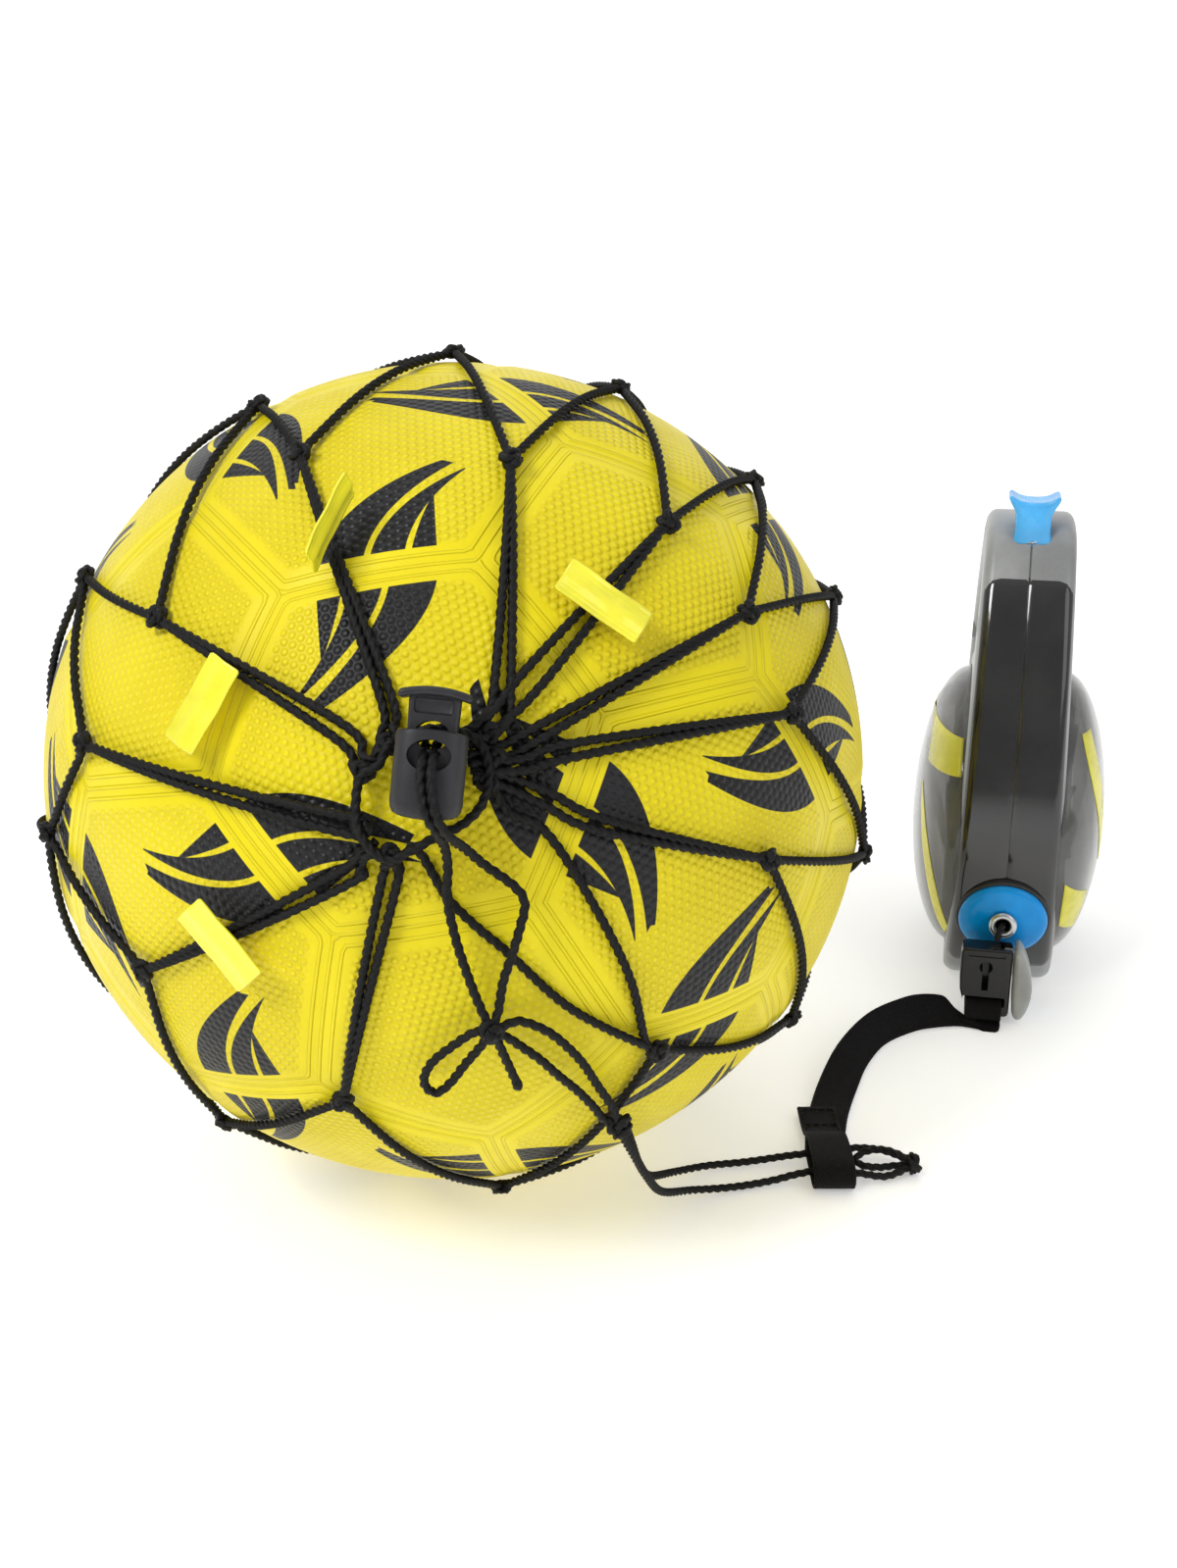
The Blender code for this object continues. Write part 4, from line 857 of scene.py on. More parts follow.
def panel_directions():
    """Unit directions of the ball's 12 pentagons and 20 hexagons."""
    phi = (1 + sqrt(5)) / 2
    corners = []
    for a in (-1.0, 1.0):
        for b in (-phi, phi):
            corners += [Vector((0, a, b)), Vector((a, b, 0)), Vector((b, 0, a))]
    faces = [p + q + r for p, q, r in combinations(corners, 3)
             if all(abs((m - n).length - 2) < 0.01 for m, n in ((p, q), (q, r), (p, r)))]

    def basis(a, b):
        x, z = a.normalized(), a.cross(b).normalized()
        return Matrix((x, z.cross(x), z)).transposed()

    seen, first = basis(PENTAGON_UPPER, PENTAGON_LOWER), basis(Vector((0, 1, phi)), Vector((0, -1, phi)))
    turn = seen @ first.transposed()
    return [(turn @ c).normalized() for c in corners], [(turn @ f).normalized() for f in faces]


def make_ball():
    pents, hexes = panel_directions()
    edge = BALL_R / CORNER_REACH
    reach, apothem = (np.array([pent * edge] * 12 + [hexa * edge] * 20)
                      for pent, hexa in (FACE_REACH, APOTHEM))
    normals = np.array([list(n) for n in pents + hexes])
    rights = []
    for n in pents + hexes:
        nearest = min((h for h in hexes if h is not n), key=lambda h: -h.dot(n))
        rights.append(list((nearest - n * nearest.dot(n)).normalized()))
    rights = np.array(rights)
    ups = np.cross(normals, rights)

    shape = bmesh.new()
    bmesh.ops.create_icosphere(shape, subdivisions=7, radius=1.0)
    mesh = mesh_from(shape, "ball")
    places = np.empty(len(mesh.vertices) * 3)
    mesh.vertices.foreach_get("co", places)
    places = places.reshape(-1, 3)
    corners = np.empty(len(mesh.loops), dtype=np.int32)
    mesh.loops.foreach_get("vertex_index", corners)
    triangles = corners.reshape(-1, 3)

    def panel_of(directions):
        return np.argmax(directions @ normals.T / reach, axis=1)

    def flat(directions, panel):
        """Places in the plane of each panel, in millimetres."""
        scale = BALL_R / np.sum(directions * normals[panel], axis=1)
        return np.stack([np.sum(directions * rights[panel], axis=1) * scale,
                         np.sum(directions * ups[panel], axis=1) * scale], axis=1)

    def seam_distance(where, panel):
        limit = apothem[panel] * BALL_R / reach[panel]
        sides = np.where(panel < 12, 5, 6)
        best = np.full(len(panel), -1e9)
        for k in range(6):
            angle = 2 * pi * (k % sides) / sides
            best = np.maximum(best, where[:, 0] * np.cos(angle) + where[:, 1] * np.sin(angle))
        return (limit - best) * SKIN_SHARE

    panel = panel_of(places)
    distance = seam_distance(flat(places, panel), panel)
    t = np.clip(distance / SEAM_HALF, 0.0, 1.0)
    radius = BALL_R - SEAM_DEPTH * (1 - t * t * (3 - 2 * t))
    mesh.vertices.foreach_set("co", ((places * radius[:, None] + np.array(BALL)) * MM).ravel())

    middles = places[triangles].mean(axis=1)
    face_panel = panel_of(middles)
    corner_panel = np.repeat(face_panel, 3)
    where = flat(places[corners], corner_panel)
    layer = mesh.uv_layers.new(name="pebble")
    layer.data.foreach_set("uv", where.ravel())
    seam = mesh.attributes.new("seam", "FLOAT", "CORNER")
    seam.data.foreach_set("value", seam_distance(where, corner_panel).astype(np.float32))

    middle = flat(middles, face_panel)
    angles = np.array([0.0, 2 * pi / 3, 4 * pi / 3])
    reaches = middle[:, :1] * np.cos(angles) + middle[:, 1:] * np.sin(angles)
    turn = np.repeat(angles[np.argmax(reaches, axis=1)], 3)
    out = where[:, 0] * np.cos(turn) + where[:, 1] * np.sin(turn)
    side = where[:, 0] * np.sin(turn) - where[:, 1] * np.cos(turn)
    depth = apothem[31] * BALL_R / reach[31] - out
    depth = np.where(corner_panel < 12, -10.0, depth)
    layer = mesh.uv_layers.new(name="ink")
    layer.data.foreach_set("uv", np.stack([side, depth], axis=1).ravel())
    mesh.update()
    piece("football", mesh, "ball", replaces=("ball_cover",))


def on_sphere(points, lifts):
    """Points moved radially to the lifts over the ball's skin."""
    return [BALL + (p - BALL).normalized() * (BALL_R + lift) for p, lift in zip(points, lifts)]


def make_net():
    count = len(NET_ROW_1)
    row_3 = [((a + b) / 2, NET_ROW_3_POLAR) for (a, _), (b, _) in
             zip(NET_ROW_1, NET_ROW_2[-1:] + NET_ROW_2[:-1])]
    row_3[0] = (NET_ROW_1[0][0] + 4, NET_ROW_3_POLAR)
    row_4 = [(360 * (k + 0.5) / count + 10, NET_ROW_4_POLAR) for k in range(count)]
    back = [(a, BACK_RING) for a, _ in row_4]
    rows = [[on_net(a, p, SKIN) for a, p in row] for row in (NET_ROW_1, NET_ROW_2, row_3, row_4, back)]
    sway = np.random.default_rng(7)

    def bar(rope, a, b, bow=1.0):
        """A cord from knot to knot that lies on the ball and wanders a little."""
        across = (a - BALL).cross(b - a).normalized()
        drift = float(sway.uniform(-bow, bow))
        line = [a.lerp(b, k / 10) + across * drift * sin(pi * k / 10) for k in range(11)]
        lifts = [SKIN + KNOT_RISE * (1 - ramp(min(k, 10 - k), 0, 1.6)) for k in range(11)]
        rope.run(smooth(on_sphere(line, lifts), 3), thin_ends=False)

    mouth = Rope()
    for k, route in enumerate(MOUTH_CORDS):
        knot = rows[0][k // 2]
        line = smooth([knot] + [on_skin(x, z, SKIN) for x, z in route], 8)
        last = len(line) - 1
        lifts = [SKIN + KNOT_RISE * (1 - ramp(i, 0, 6)) + (1.5 + 0.5 * (k % 3)) * ramp(i, last - 14, last - 4)
                 for i in range(last + 1)]
        mouth.run(on_sphere(line, lifts), thin_ends=False)
    for k, (x, z) in enumerate(MOUTH_HITCHES):
        centre = on_skin(x, z, 3.6)
        mouth.knot(centre, centre - BALL, 0.60, 1.3 * k)
    mouth.made("net_mouth_cords", replaces=("ball_net",))
    ring = Rope()
    ring.run(smooth([over_ball(x, z, 0.1) for x, z in DRAW_RING], 5, closed=True), closed=True)
    ring.made("draw_cord_ring", replaces=("draw_cord",))

    for number, (upper, lower) in enumerate(zip(rows, rows[1:]), 1):
        rope = Rope()
        for k in range(count):
            bar(rope, upper[k], lower[k])
            if number in (1, 3):
                bar(rope, upper[k], lower[(k - 1) % count if number == 1 else k - 1])
            elif number == 2:
                bar(rope, upper[k], lower[(k + 1) % count])
            centre = BALL + (upper[k] - BALL).normalized() * (BALL_R + 2.5)
            rope.knot(centre, centre - BALL, 0.66, 0.9 * k)
        rope.made(f"net_row_{number}")
    rope = Rope()
    rope.run(smooth([on_net(18 * k, BACK_RING + 0.3, 3.0) for k in range(20)], 3, closed=True), closed=True)
    rope.made("net_back_ring")


def make_tags():
    """Folded film tags that wrap the net's cord: crowned along it, crimped at their long edges."""
    for number, (place, turn, roll) in enumerate(TAGS, 1):
        matrix = tangent_matrix(over_ball(*place), turn) @ Matrix.Rotation(radians(roll), 4, "Z")
        shape = bmesh.new()
        bmesh.ops.create_grid(shape, x_segments=28, y_segments=48, size=1.0)
        for vert in shape.verts:
            u, v = vert.co.x, vert.co.y
            corner = max(0.0, abs(v) * TAG_LENGTH / 2 - (TAG_LENGTH / 2 - 0.5))
            half = TAG_WIDTH / 2 - (0.5 - sqrt(max(0.0, 0.25 - corner * corner)))
            x, z = u * half, v * TAG_LENGTH / 2
            crown = 0.42 * cos(min(1.0, abs(x) / 2.3) * pi / 2) ** 1.5
            curl = 0.10 * sin(1.9 * v * pi + number) + 0.05 * sin(5.2 * v + 2.0 * u)
            crimp = 0.10 * (abs(abs(x) - (TAG_WIDTH / 2 - 1.0)) < 0.22)
            vert.co = Vector((x, 0.22 - crown + curl + crimp - 0.25 * (v * v), z)) * MM
        mesh = mesh_from(shape, "tag")
        mesh.transform(matrix)
        made = piece(f"tag_film_{number}", mesh, "tag", replaces=(f"net_tag_{number}",))
        thick = made.modifiers.new("film", "SOLIDIFY")
        thick.thickness = TAG_FILM * MM
        thick.offset = 0.0


# ---- solid helpers ----

def settled(made):
    """The object's mesh with its modifiers applied; the object goes."""
    bpy.context.view_layer.update()
    mesh = bpy.data.meshes.new_from_object(made.evaluated_get(bpy.context.evaluated_depsgraph_get()))
    bpy.data.objects.remove(made, do_unlink=True)
    return mesh


def cut(mesh, *cutters, operation="DIFFERENCE"):
    """The mesh after each cutter in turn has been taken off it."""
    for cutter in cutters:
        made, tool = placed("work", mesh), placed("tool", cutter)
        step = made.modifiers.new("cut", "BOOLEAN")
        step.object = tool
        step.operation = operation
        mesh = settled(made)
        bpy.data.objects.remove(tool, do_unlink=True)
    return mesh


def thickened(mesh, thickness, offset):
    """An open sheet given a thickness in millimetres, to one side of it or to both."""
    made = placed("work", mesh)
    thick = made.modifiers.new("sheet", "SOLIDIFY")
    thick.thickness = thickness * MM
    thick.offset = offset
    return settled(made)


def facing_out(mesh):
    """The closed mesh with all its faces turned outwards."""
    shape = bmesh.new()
    shape.from_mesh(mesh)
    bmesh.ops.recalc_face_normals(shape, faces=shape.faces)
    shape.to_mesh(mesh)
    shape.free()
    return mesh


def in_metres(matrix):
    """The matrix with its move in metres instead of millimetres."""
    made = matrix.copy()
    made.translation *= MM
    return made


def offset_loop(points, reach):
    """The loop moved outwards by reach."""
    count = len(points)
    area = sum(a.x * b.y - b.x * a.y for a, b in zip(points, points[1:] + points[:1]))
    sign = 1 if area > 0 else -1
    out = []
    for i in range(count):
        along = (points[(i + 1) % count] - points[i - 1]).normalized()
        out.append(points[i] + Vector((along.y, -along.x)) * reach * sign)
    return out


def prism_mesh(outlines, low_x, high_x, bevel=0.0):
    """Flat (y, z) outlines, the later ones holes, from low_x to high_x, with the rims rounded."""
    segments = 5
    levels = []
    for k in range(segments + 1 if bevel else 1):
        angle = pi / 2 * k / segments
        levels.append((low_x + bevel * (1 - sin(angle)), bevel * (1 - cos(angle))))
    levels = levels[::-1] + [(low_x + high_x - x, inset) for x, inset in levels]
    verts, faces, loops = [], [], []
    for number, outline in enumerate(outlines):
        first, count = len(verts), len(outline)
        for x, inset in levels:
            verts += [(x, p.x, p.y) for p in offset_loop(outline, inset if number else -inset)]
        faces += quads(len(levels), count, first)
        loops.append((first, first + (len(levels) - 1) * count, count))
    for end in (0, 1):
        flat = [[Vector((verts[loop[end] + k][1], verts[loop[end] + k][2], 0)) for k in range(loop[2])]
                for loop in loops]
        index = [loop[end] + k for loop in loops for k in range(loop[2])]
        faces += [tuple(index[k] for k in tri) for tri in tessellate_polygon(flat)]
    return facing_out(mesh_of(verts, faces))


def rod_mesh(start, end, radius, sides=48):
    start, end = Vector(start), Vector(end)
    along = end - start
    shape = bmesh.new()
    turn = along.to_track_quat("Z", "Y").to_matrix().to_4x4()
    bmesh.ops.create_cone(shape, cap_ends=True, segments=sides, radius1=radius, radius2=radius,
                          depth=along.length, matrix=Matrix.Translation((start + end) / 2) @ turn)
    return mesh_from(shape, "rod", MM)


def block_mesh(low, high, bevel=0.0, segments=3):
    low, high = Vector(low), Vector(high)
    shape = bmesh.new()
    bmesh.ops.create_cube(shape, size=1.0)
    bmesh.ops.scale(shape, vec=high - low, verts=shape.verts)
    bmesh.ops.translate(shape, vec=(high + low) / 2, verts=shape.verts)
    if bevel:
        bmesh.ops.bevel(shape, geom=shape.edges, offset=bevel, segments=segments, profile=0.5, affect="EDGES")
    return mesh_from(shape, "block", MM)


def turned_mesh(profile, matrix, steps=96):
    """A closed profile of (radius, height) points turned about the matrix's Z axis."""
    verts, faces = [], []
    count = len(profile)
    for i in range(steps):
        a = 2 * pi * i / steps
        verts += [(r * cos(a), r * sin(a), h) for r, h in profile]
    for i in range(steps):
        n = (i + 1) % steps
        for k in range(count):
            m = (k + 1) % count
            faces.append((i * count + k, n * count + k, n * count + m, i * count + m))
    mesh = mesh_of(verts, faces)
    shape = bmesh.new()
    shape.from_mesh(mesh)
    bmesh.ops.remove_doubles(shape, verts=shape.verts, dist=0.0005 * MM)
    bmesh.ops.dissolve_degenerate(shape, edges=shape.edges, dist=0.0001 * MM)
    bmesh.ops.recalc_face_normals(shape, faces=shape.faces)
    shape.to_mesh(mesh)
    shape.free()
    mesh.transform(in_metres(matrix))
    return mesh


# ---- the cord lock ----

def barrel(levels):
    """A stack of rounded-oblong sections: (half width, half depth, height, dome)."""
    sides = 64
    verts = []
    for half, deep, z, dome in levels:
        for k in range(sides):
            a = 2 * pi * k / sides
            x = half * abs(cos(a)) ** 0.62 * (1 if cos(a) >= 0 else -1)
            y = deep * abs(sin(a)) ** 0.72 * (1 if sin(a) >= 0 else -1)
            verts.append((x, y, z + dome * (1 - (x / (LOCK_WIDTH / 2)) ** 2)))
    faces = quads(len(levels), sides)
    for first, flip in ((0, True), ((len(levels) - 1) * sides, False)):
        centre = len(verts)
        z, dome = levels[0 if flip else -1][2:]
        verts.append((0, 0, z + dome))
        for k in range(sides):
            n = (k + 1) % sides
            faces.append((first + n, first + k, centre) if flip else (first + k, first + n, centre))
    return mesh_of(verts, faces)


def oval_rod(width, height, z):
    """A long oval rod through the lock from front to back."""
    shape = bmesh.new()
    bmesh.ops.create_cone(shape, cap_ends=True, segments=48, radius1=0.5, radius2=0.5, depth=40.0)
    bmesh.ops.scale(shape, vec=(width, height, 1), verts=shape.verts)
    bmesh.ops.rotate(shape, matrix=Matrix.Rotation(pi / 2, 3, "X"), verts=shape.verts)
    bmesh.ops.translate(shape, vec=(0, 0, z), verts=shape.verts)
    return mesh_from(shape, "oval", MM)


def make_cord_lock():
    matrix = tangent_matrix(over_ball(*LOCK_AT), LOCK_LEAN)
    w, d, h = LOCK_WIDTH / 2, LOCK_DEPTH / 2, LOCK_HEIGHT / 2
    levels = [(w - 1.6, d - 1.6, -h + 0.9, -0.9), (w - 0.7, d - 0.6, -h + 1.2, -0.9),
              (w - 0.2, d - 0.15, -h + 2.0, -0.8), (w, d, -h + 3.2, -0.4), (w, d, 0, 0.0),
              (w - 0.05, d, h - 1.5, 0.3), (w - 0.15, d - 0.1, h - 0.9, 0.6),
              (w - 0.5, d - 0.5, h - 0.62, 0.6)]
    body = barrel(levels)
    pocket = block_mesh((-5.1, -3.55, -h + 1.6), (5.1, 3.55, h + 5))
    body = cut(body, pocket, oval_rod(8.6, 6.2, LOCK_HOLE_Z))
    body.transform(matrix)
    piece("lock_body_barrel", body, "charcoal", replaces=("cord_lock_body",), sharp=35)

    stem = block_mesh((-4.8, -3.25, -2.0), (4.8, 3.25, PLUNGER_TOP - 1.4), bevel=0.5)
    for vert in stem.vertices:
        vert.co.x *= 1 + 0.006 * (vert.co.z / MM - 8)
    window = block_mesh((-3.9, -6.0, 11.6), (3.9, -2.3, PLUNGER_TOP - 2.2), bevel=0.8)
    stem = cut(stem, window, oval_rod(7.0, 5.6, LOCK_HOLE_Z + 4.0))
    cap = block_mesh((-7.1, -4.6, PLUNGER_TOP - 1.7), (7.1, 4.6, PLUNGER_TOP), bevel=0.7, segments=4)
    shape = bmesh.new()
    shape.from_mesh(cap)
    long_edges = [e for e in shape.edges if abs((e.verts[0].co - e.verts[1].co).x) > 4 * MM]
    bmesh.ops.subdivide_edges(shape, edges=long_edges, cuts=14)
    for vert in shape.verts:
        vert.co.z -= 1.1 * MM * (vert.co.x / (7.1 * MM)) ** 2
    shape.to_mesh(cap)
    shape.free()
    stem = cut(stem, cap, operation="UNION")
    stem.transform(matrix)
    piece("lock_plunger_cap", stem, "charcoal", body="lock_plunger", replaces=("cord_lock_plunger",),
          sharp=35)


# ---- the reel ----

def taper(mesh):
    """The mesh narrowed upwards as the housing is."""
    for vert in mesh.vertices:
        vert.co.x *= 1 - HALF_WIDTH_SLOPE * vert.co.z / (HALF_WIDTH_BASE * MM)
    return mesh


def half_width(z):
    return HALF_WIDTH_BASE - HALF_WIDTH_SLOPE * z


def housing_outline():
    return [Vector(HOUSING[0])] + smooth(HOUSING[1:] + HOUSING[:1])[:-1]


def front_at(z):
    """How far back the housing's front is at a height."""
    front = sorted((p for p in housing_outline() if p.x < 44 and p.y <= 148), key=lambda p: p.y)
    for a, b in zip(front, front[1:]):
        if a.y <= z <= b.y:
            return a.x + (b.x - a.x) * (z - a.y) / max(1e-6, b.y - a.y)
    return front[0].x if z < front[0].y else front[-1].x


def make_housing():
    outline = housing_outline()
    hole = smooth(FINGER_HOLE, 4, closed=True)
    shell = prism_mesh([outline, hole], -HALF_WIDTH_BASE, HALF_WIDTH_BASE, bevel=EDGE_ROUND)
    seats = [rod_mesh((side * (COVER_SEAT - 0.3), *DISC.yz), (side * 25, *DISC.yz), COVER_R + 0.5, 96)
             for side in (-1, 1)]
    groove = prism_mesh([offset_loop(outline, 1.5), offset_loop(outline, -0.8)], -0.4, 0.4)
    slot = block_mesh((-5.7, BUTTON_Y - 6.05, 137), (5.7, BUTTON_Y + 7.35, 160), bevel=0.6)
    bore = rod_mesh((0, -5, OUTLET.z), (0, 20, OUTLET.z), 5.6)
    shell = cut(shell, *seats, groove, slot, bore)
    for y, z in SCREWS:
        shell = cut(shell, rod_mesh((-30, y, z), (-12.0, y, z), 3.4, 32))
    reel_piece("reel_shell", taper(shell), "grey", replaces=("handle_left", "handle_right"), sharp=38)

    for side, word in ((-1, "left"), (1, "right")):
        make_panel(side, word)
        make_cover(side, word)


def make_panel(side, word):
    """Half of the glossy inlay down the nose, with a dipped rim and a fine gap at the centre."""
    rows, columns = 120, 22
    gap = 0.06
    verts = []
    for j in range(rows + 1):
        z = PANEL_BOTTOM + (PANEL_TOP - PANEL_BOTTOM) * j / rows
        over = max(0.0, z - (PANEL_TOP - PANEL_CORNER))
        under = max(0.0, PANEL_BOTTOM + PANEL_CORNER - z)
        round_off = PANEL_CORNER - sqrt(max(0.0, PANEL_CORNER ** 2 - max(over, under) ** 2))
        limit = half_width(z) - 0.35 - round_off
        front = front_at(z)
        for k in range(columns + 1):
            share = (k / columns) ** 0.8
            x = gap + (limit - gap) * share
            from_rim = min(limit - x, PANEL_TOP - z, z - PANEL_BOTTOM)
            rounding = max(0.0, x - (half_width(z) - EDGE_ROUND))
            setback = EDGE_ROUND - sqrt(max(0.0, EDGE_ROUND ** 2 - rounding ** 2))
            # Proud of the shell, dipped at the rim and at the centre gap, and rounded back over its edge.
            proud = 0.6 * ramp(from_rim, -0.3, 1.2) - 0.25 + 0.3 * ramp(x, 0.05, 0.45) - 0.3
            verts.append((side * x, front - proud + setback, z))
    faces = [quad[::side] for quad in quads(rows + 1, columns + 1, wrap=False)]
    mesh = thickened(mesh_of(verts, faces), PANEL_THICK, -1.0)
    face = Matrix.Rotation(radians(OUTLET_TILT), 3, "X") @ Vector((0, -1, 0))
    outlet = rod_mesh(OUTLET + face * 14, OUTLET - face * 10, 12.2, 64)
    seat = rod_mesh((side * (COVER_SEAT - 0.1), *DISC.yz), (side * 25, *DISC.yz), COVER_R + 0.45, 96)
    mesh = cut(mesh, outlet, seat)
    reel_piece(f"nose_inlay_{word}", mesh, "gloss", replaces=(f"nose_panel_{word}",), sharp=50)


def make_cover(side, word):
    """A smoky dome, the ribbed floor behind it and the bands printed on it."""
    height = COVER_BULGE - COVER_SEAT
    inner_r, inner_height = COVER_R - COVER_THICK, height - COVER_THICK
    angles = [pi / 2 * k / 28 for k in range(29)]
    outside = [(COVER_R * cos(a), height * sin(a)) for a in angles]
    inside = [(inner_r * cos(a), inner_height * sin(a)) for a in angles]
    rim = [(COVER_R - 0.2, -0.6), (inner_r, -0.6)]
    stand = Matrix(((0, 0, side, side * COVER_SEAT), (0, 1, 0, DISC.y), (-side, 0, 0, DISC.z), (0, 0, 0, 1)))
    dome = turned_mesh(outside[::-1] + rim + inside, stand)
    reel_piece(f"cover_dome_{word}", dome, "smoke", replaces=(f"side_cover_{word}",), sharp=60)

    steps = [(0, -0.2), (0, 5.4), (6, 5.4), (7, 4.6), (15, 4.6), (16, 2.0), (30, 2.0), (31, 3.2), (34, 3.2),
             (35, 1.2), (42.5, 1.2), (42.5, -0.2)]
    reel_piece(f"cover_floor_{word}", turned_mesh(steps, stand), "recess", sharp=30)
    spokes = bmesh.new()
    for k in range(12):
        spoke = block_mesh((16.5, -0.7, 1.9), (41.5, 0.7, 4.2), bevel=0.4, segments=2)
        spoke.transform(Matrix.Rotation(2 * pi * k / 12, 4, "Z"))
        spokes.from_mesh(spoke)
    ribs = mesh_from(spokes, "ribs")
    ribs.transform(in_metres(stand))
    reel_piece(f"cover_ribs_{word}", ribs, "charcoal", sharp=30)

    def on_cover(x, z, back):
        """The cover's skin at a distance from the middle plane and a height, before the disc or behind."""
        rise = min(0.999, (x - COVER_SEAT) / height)
        radius = (COVER_R + 0.12) * sqrt(1 - rise * rise)
        deep = sqrt(max(0.0, radius ** 2 - (z - DISC.z) ** 2))
        return (side * (x + 0.1), DISC.y + (deep if back else -deep), z)

    verts, faces = [], []
    for back in (False, True):
        for outer, inner in BANDS[side]:
            a, b = smooth(outer, 8), smooth(inner, 8)
            across = 10
            first = len(verts)
            for p, q in zip(a, b):
                for k in range(across + 1):
                    verts.append(on_cover(*p.lerp(q, k / across), back))
            faces += quads(len(a), across + 1, first, wrap=False)
    reel_piece(f"cover_bands_{word}", thickened(mesh_of(verts, faces), 0.14, 0.0), "decal")


def make_outlet():
    across = Matrix.Rotation(radians(90 + OUTLET_TILT), 4, "X")
    across.translation = OUTLET
    profile = [(0, 4.5), (4.0, 4.45), (8.0, 4.05), (10.5, 3.55), (12.2, 2.95), (13.1, 2.35), (13.55, 1.75),
               (OUTLET_R, 1.3), (OUTLET_R - 0.1, 0.8), (13.0, 0.6), (8.0, 0.6), (8.0, -2.0), (0, -2.0)]
    disc = turned_mesh(profile, across)
    disc = cut(disc, rod_mesh((0, -14, OUTLET.z), (0, 20, OUTLET.z), 3.4))
    reel_piece("outlet_disc", disc, "blue", replaces=("outlet_bushing",), sharp=40)
    gasket = turned_mesh([(11.8, 0.9), (14.1, 0.9), (14.5, 0.5), (14.5, -1.2), (11.8, -1.2)], across)
    reel_piece("outlet_gasket", gasket, "butyl", sharp=40)

    front = OUTLET.y - 6.6
    ring = Matrix.Rotation(pi / 2, 4, "X")
    ring.translation = Vector((0, 0, OUTLET.z))
    profile = [(1.9, -front - 0.2), (2.05, -front + 0.45), (2.5, -front + 0.85), (3.1, -front + 0.95),
               (3.75, -front + 0.75), (4.2, -front + 0.3), (4.3, -front - 0.3), (4.05, -front - 0.8),
               (3.1, -front - 1.0), (3.1, -OUTLET.y - 10), (1.9, -OUTLET.y - 10)]
    ferrule = turned_mesh(profile, ring, 64)
    reel_piece("ferrule_ring", ferrule, "steel", replaces=("outlet_ferrule",), sharp=50)


def make_button():
    """The thumb button: a saddle on a narrow neck."""
    low = BUTTON_LOW
    half = [(0.0, low + 6.1), (2.4, low + 6.25), (4.6, low + 6.75), (6.4, low + 7.75), (7.3, low + 8.0),
            (7.75, low + 7.3), (7.3, low + 6.0), (6.2, low + 4.0), (5.45, low + 2.2), (5.3, low + 0.5),
            (5.3, low - 3.0), (5.3, low - 9.5)]
    outline = smooth(half + [(-x, z) for x, z in half[:0:-1]], 3, closed=True)
    verts = []
    stations = [(-1.0, 0.80), (-0.97, 0.90), (-0.9, 0.965), (-0.78, 0.99), (-0.5, 1.0), (0.0, 1.0),
                (0.5, 1.0), (0.78, 0.99), (0.9, 0.965), (0.97, 0.90), (1.0, 0.80)]
    count = len(outline)
    setback = 0.65
    for share, size in stations:
        y = BUTTON_Y + setback + share * (BUTTON_LENGTH / 2 - setback)
        saddle = -0.5 * (1 - share * share)
        for p in outline:
            lift = saddle * ramp(p.y, low + 3.0, low + 7.0)
            verts.append((p.x * size, y, low + (p.y - low) * (size if p.y > low else 1.0) + lift))
    faces = quads(len(stations), count)
    faces.append(tuple(reversed(range(count))))
    faces.append(tuple(range((len(stations) - 1) * count, len(stations) * count)))
    stem = block_mesh((-2, BUTTON_Y - 4, 101.2), (2, BUTTON_Y, low - 3), bevel=0.4)
    mesh = cut(facing_out(mesh_of(verts, faces)), stem, operation="UNION")
    reel_piece("thumb_button_saddle", mesh, "button", body="thumb_button", replaces=("brake_button",),
               sharp=45)


def upright(outline, low_y, high_y, bevel):
    """An (x, z) outline as a slab from low_y to high_y with its rims rounded."""
    mesh = prism_mesh([[Vector(p) for p in outline]], -high_y, -low_y, bevel=bevel)
    mesh.transform(Matrix(((0, 1, 0, 0), (-1, 0, 0, 0), (0, 0, 1, 0), (0, 0, 0, 1))))
    return mesh


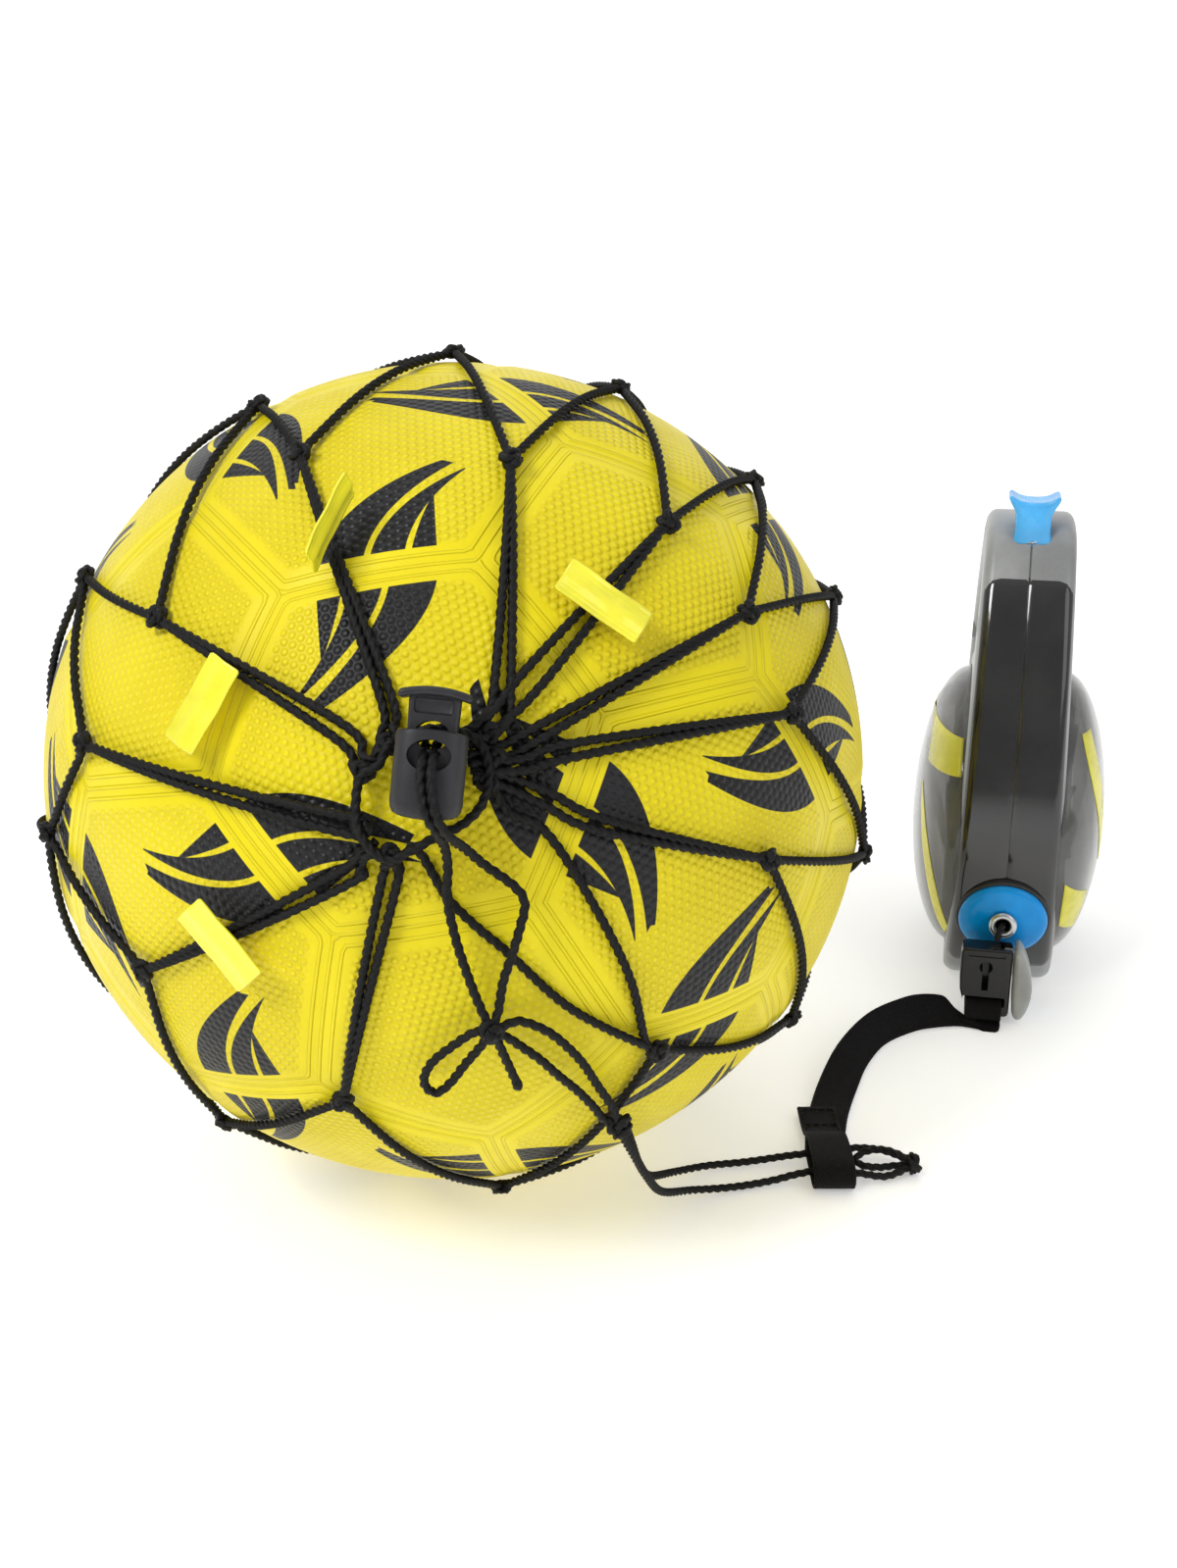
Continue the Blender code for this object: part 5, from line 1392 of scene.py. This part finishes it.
def make_clip():
    low_y, high_y = CLIP.y - CLIP_SIZE.y / 2, CLIP.y + CLIP_SIZE.y / 2
    outline = [(-10.6, 24.6), (-11.6, 24.0), (-12.0, 22.8), (-12.0, 15.0), (-11.7, 10.5), (-10.6, 6.4),
               (-8.6, 3.4), (-6.2, 2.0), (2.4, 2.0), (3.3, 2.5), (3.6, 3.4), (3.6, 23.6), (3.2, 24.4),
               (2.4, 24.6)]
    body = upright(outline, low_y, high_y, 0.9)
    key = rod_mesh((CLIP.x, low_y - 5, 18.6), (CLIP.x, CLIP.y + 1.5, 18.6), 2.0, 32)
    slot = block_mesh((CLIP.x - 1, low_y - 5, 10.8), (CLIP.x + 1, CLIP.y + 1.5, 18.6))
    eye = block_mesh((CLIP.x - 6.4, low_y - 5, 5.4), (CLIP.x + 6.4, high_y + 5, 8.6), bevel=0.6)
    lip = block_mesh((-9.6, low_y - 2, 22.0), (1.4, low_y + 0.5, 23.2), bevel=0.2)
    ears = block_mesh((-0.2, CLIP.y - 2.3, 18.6), (5.0, CLIP.y + 2.3, 26.0))
    body = cut(body, key, slot, eye, lip, ears)
    reel_piece("clip_frame", body, "clip", body="clip", replaces=("clip_body",), sharp=35)

    leaf = [(4.2, 23.6), (4.6, 25.2), (5.3, 25.5), (6.4, 24.4), (7.8, 21.6), (9.1, 17.8), (9.9, 14.0),
            (10.1, 11.0), (9.7, 7.6), (8.8, 4.6), (7.6, 2.4), (6.3, 1.7), (5.2, 2.4), (4.5, 4.2), (4.2, 8.0),
            (4.15, 16.0)]
    blade = upright(smooth(leaf, 4, closed=True), CLIP.y - 5.3, CLIP.y + 5.3, 1.7)
    tongue = block_mesh((1.1, CLIP.y - 1.9, 19.8), (6.0, CLIP.y + 1.9, 23.4), bevel=0.3)
    blade = cut(blade, tongue, operation="UNION")
    reel_piece("clip_leaf", blade, "lever", body="lever", replaces=("clip_lever",), sharp=40)


CAD_PAINTS = {
    "butyl": ("ball_bladder", "ball_valve"), "charcoal": ("brake_pawl",), "cord": ("wound_lead",),
    "nylon": ("spool", "spring_ledge"),
    "steel": ("button_spring", "cord_lock_spring", "mainspring", "spool_axle", "pawl_pin", "lever_pin",
              "housing_screw_1", "housing_screw_2", "housing_screw_3", "housing_screw_4")}


def dress_cad():
    """Puts the paints on the inner parts that are shown as the CAD has them."""
    for paint, names in CAD_PAINTS.items():
        for name in names:
            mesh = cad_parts[name].data
            mesh.materials.clear()
            mesh.materials.append(PAINTS[paint])


make_stage()
make_cords()
make_strap()
make_net()
make_tags()
make_ball()
make_cord_lock()
make_housing()
make_outlet()
make_button()
make_clip()
dress_cad()
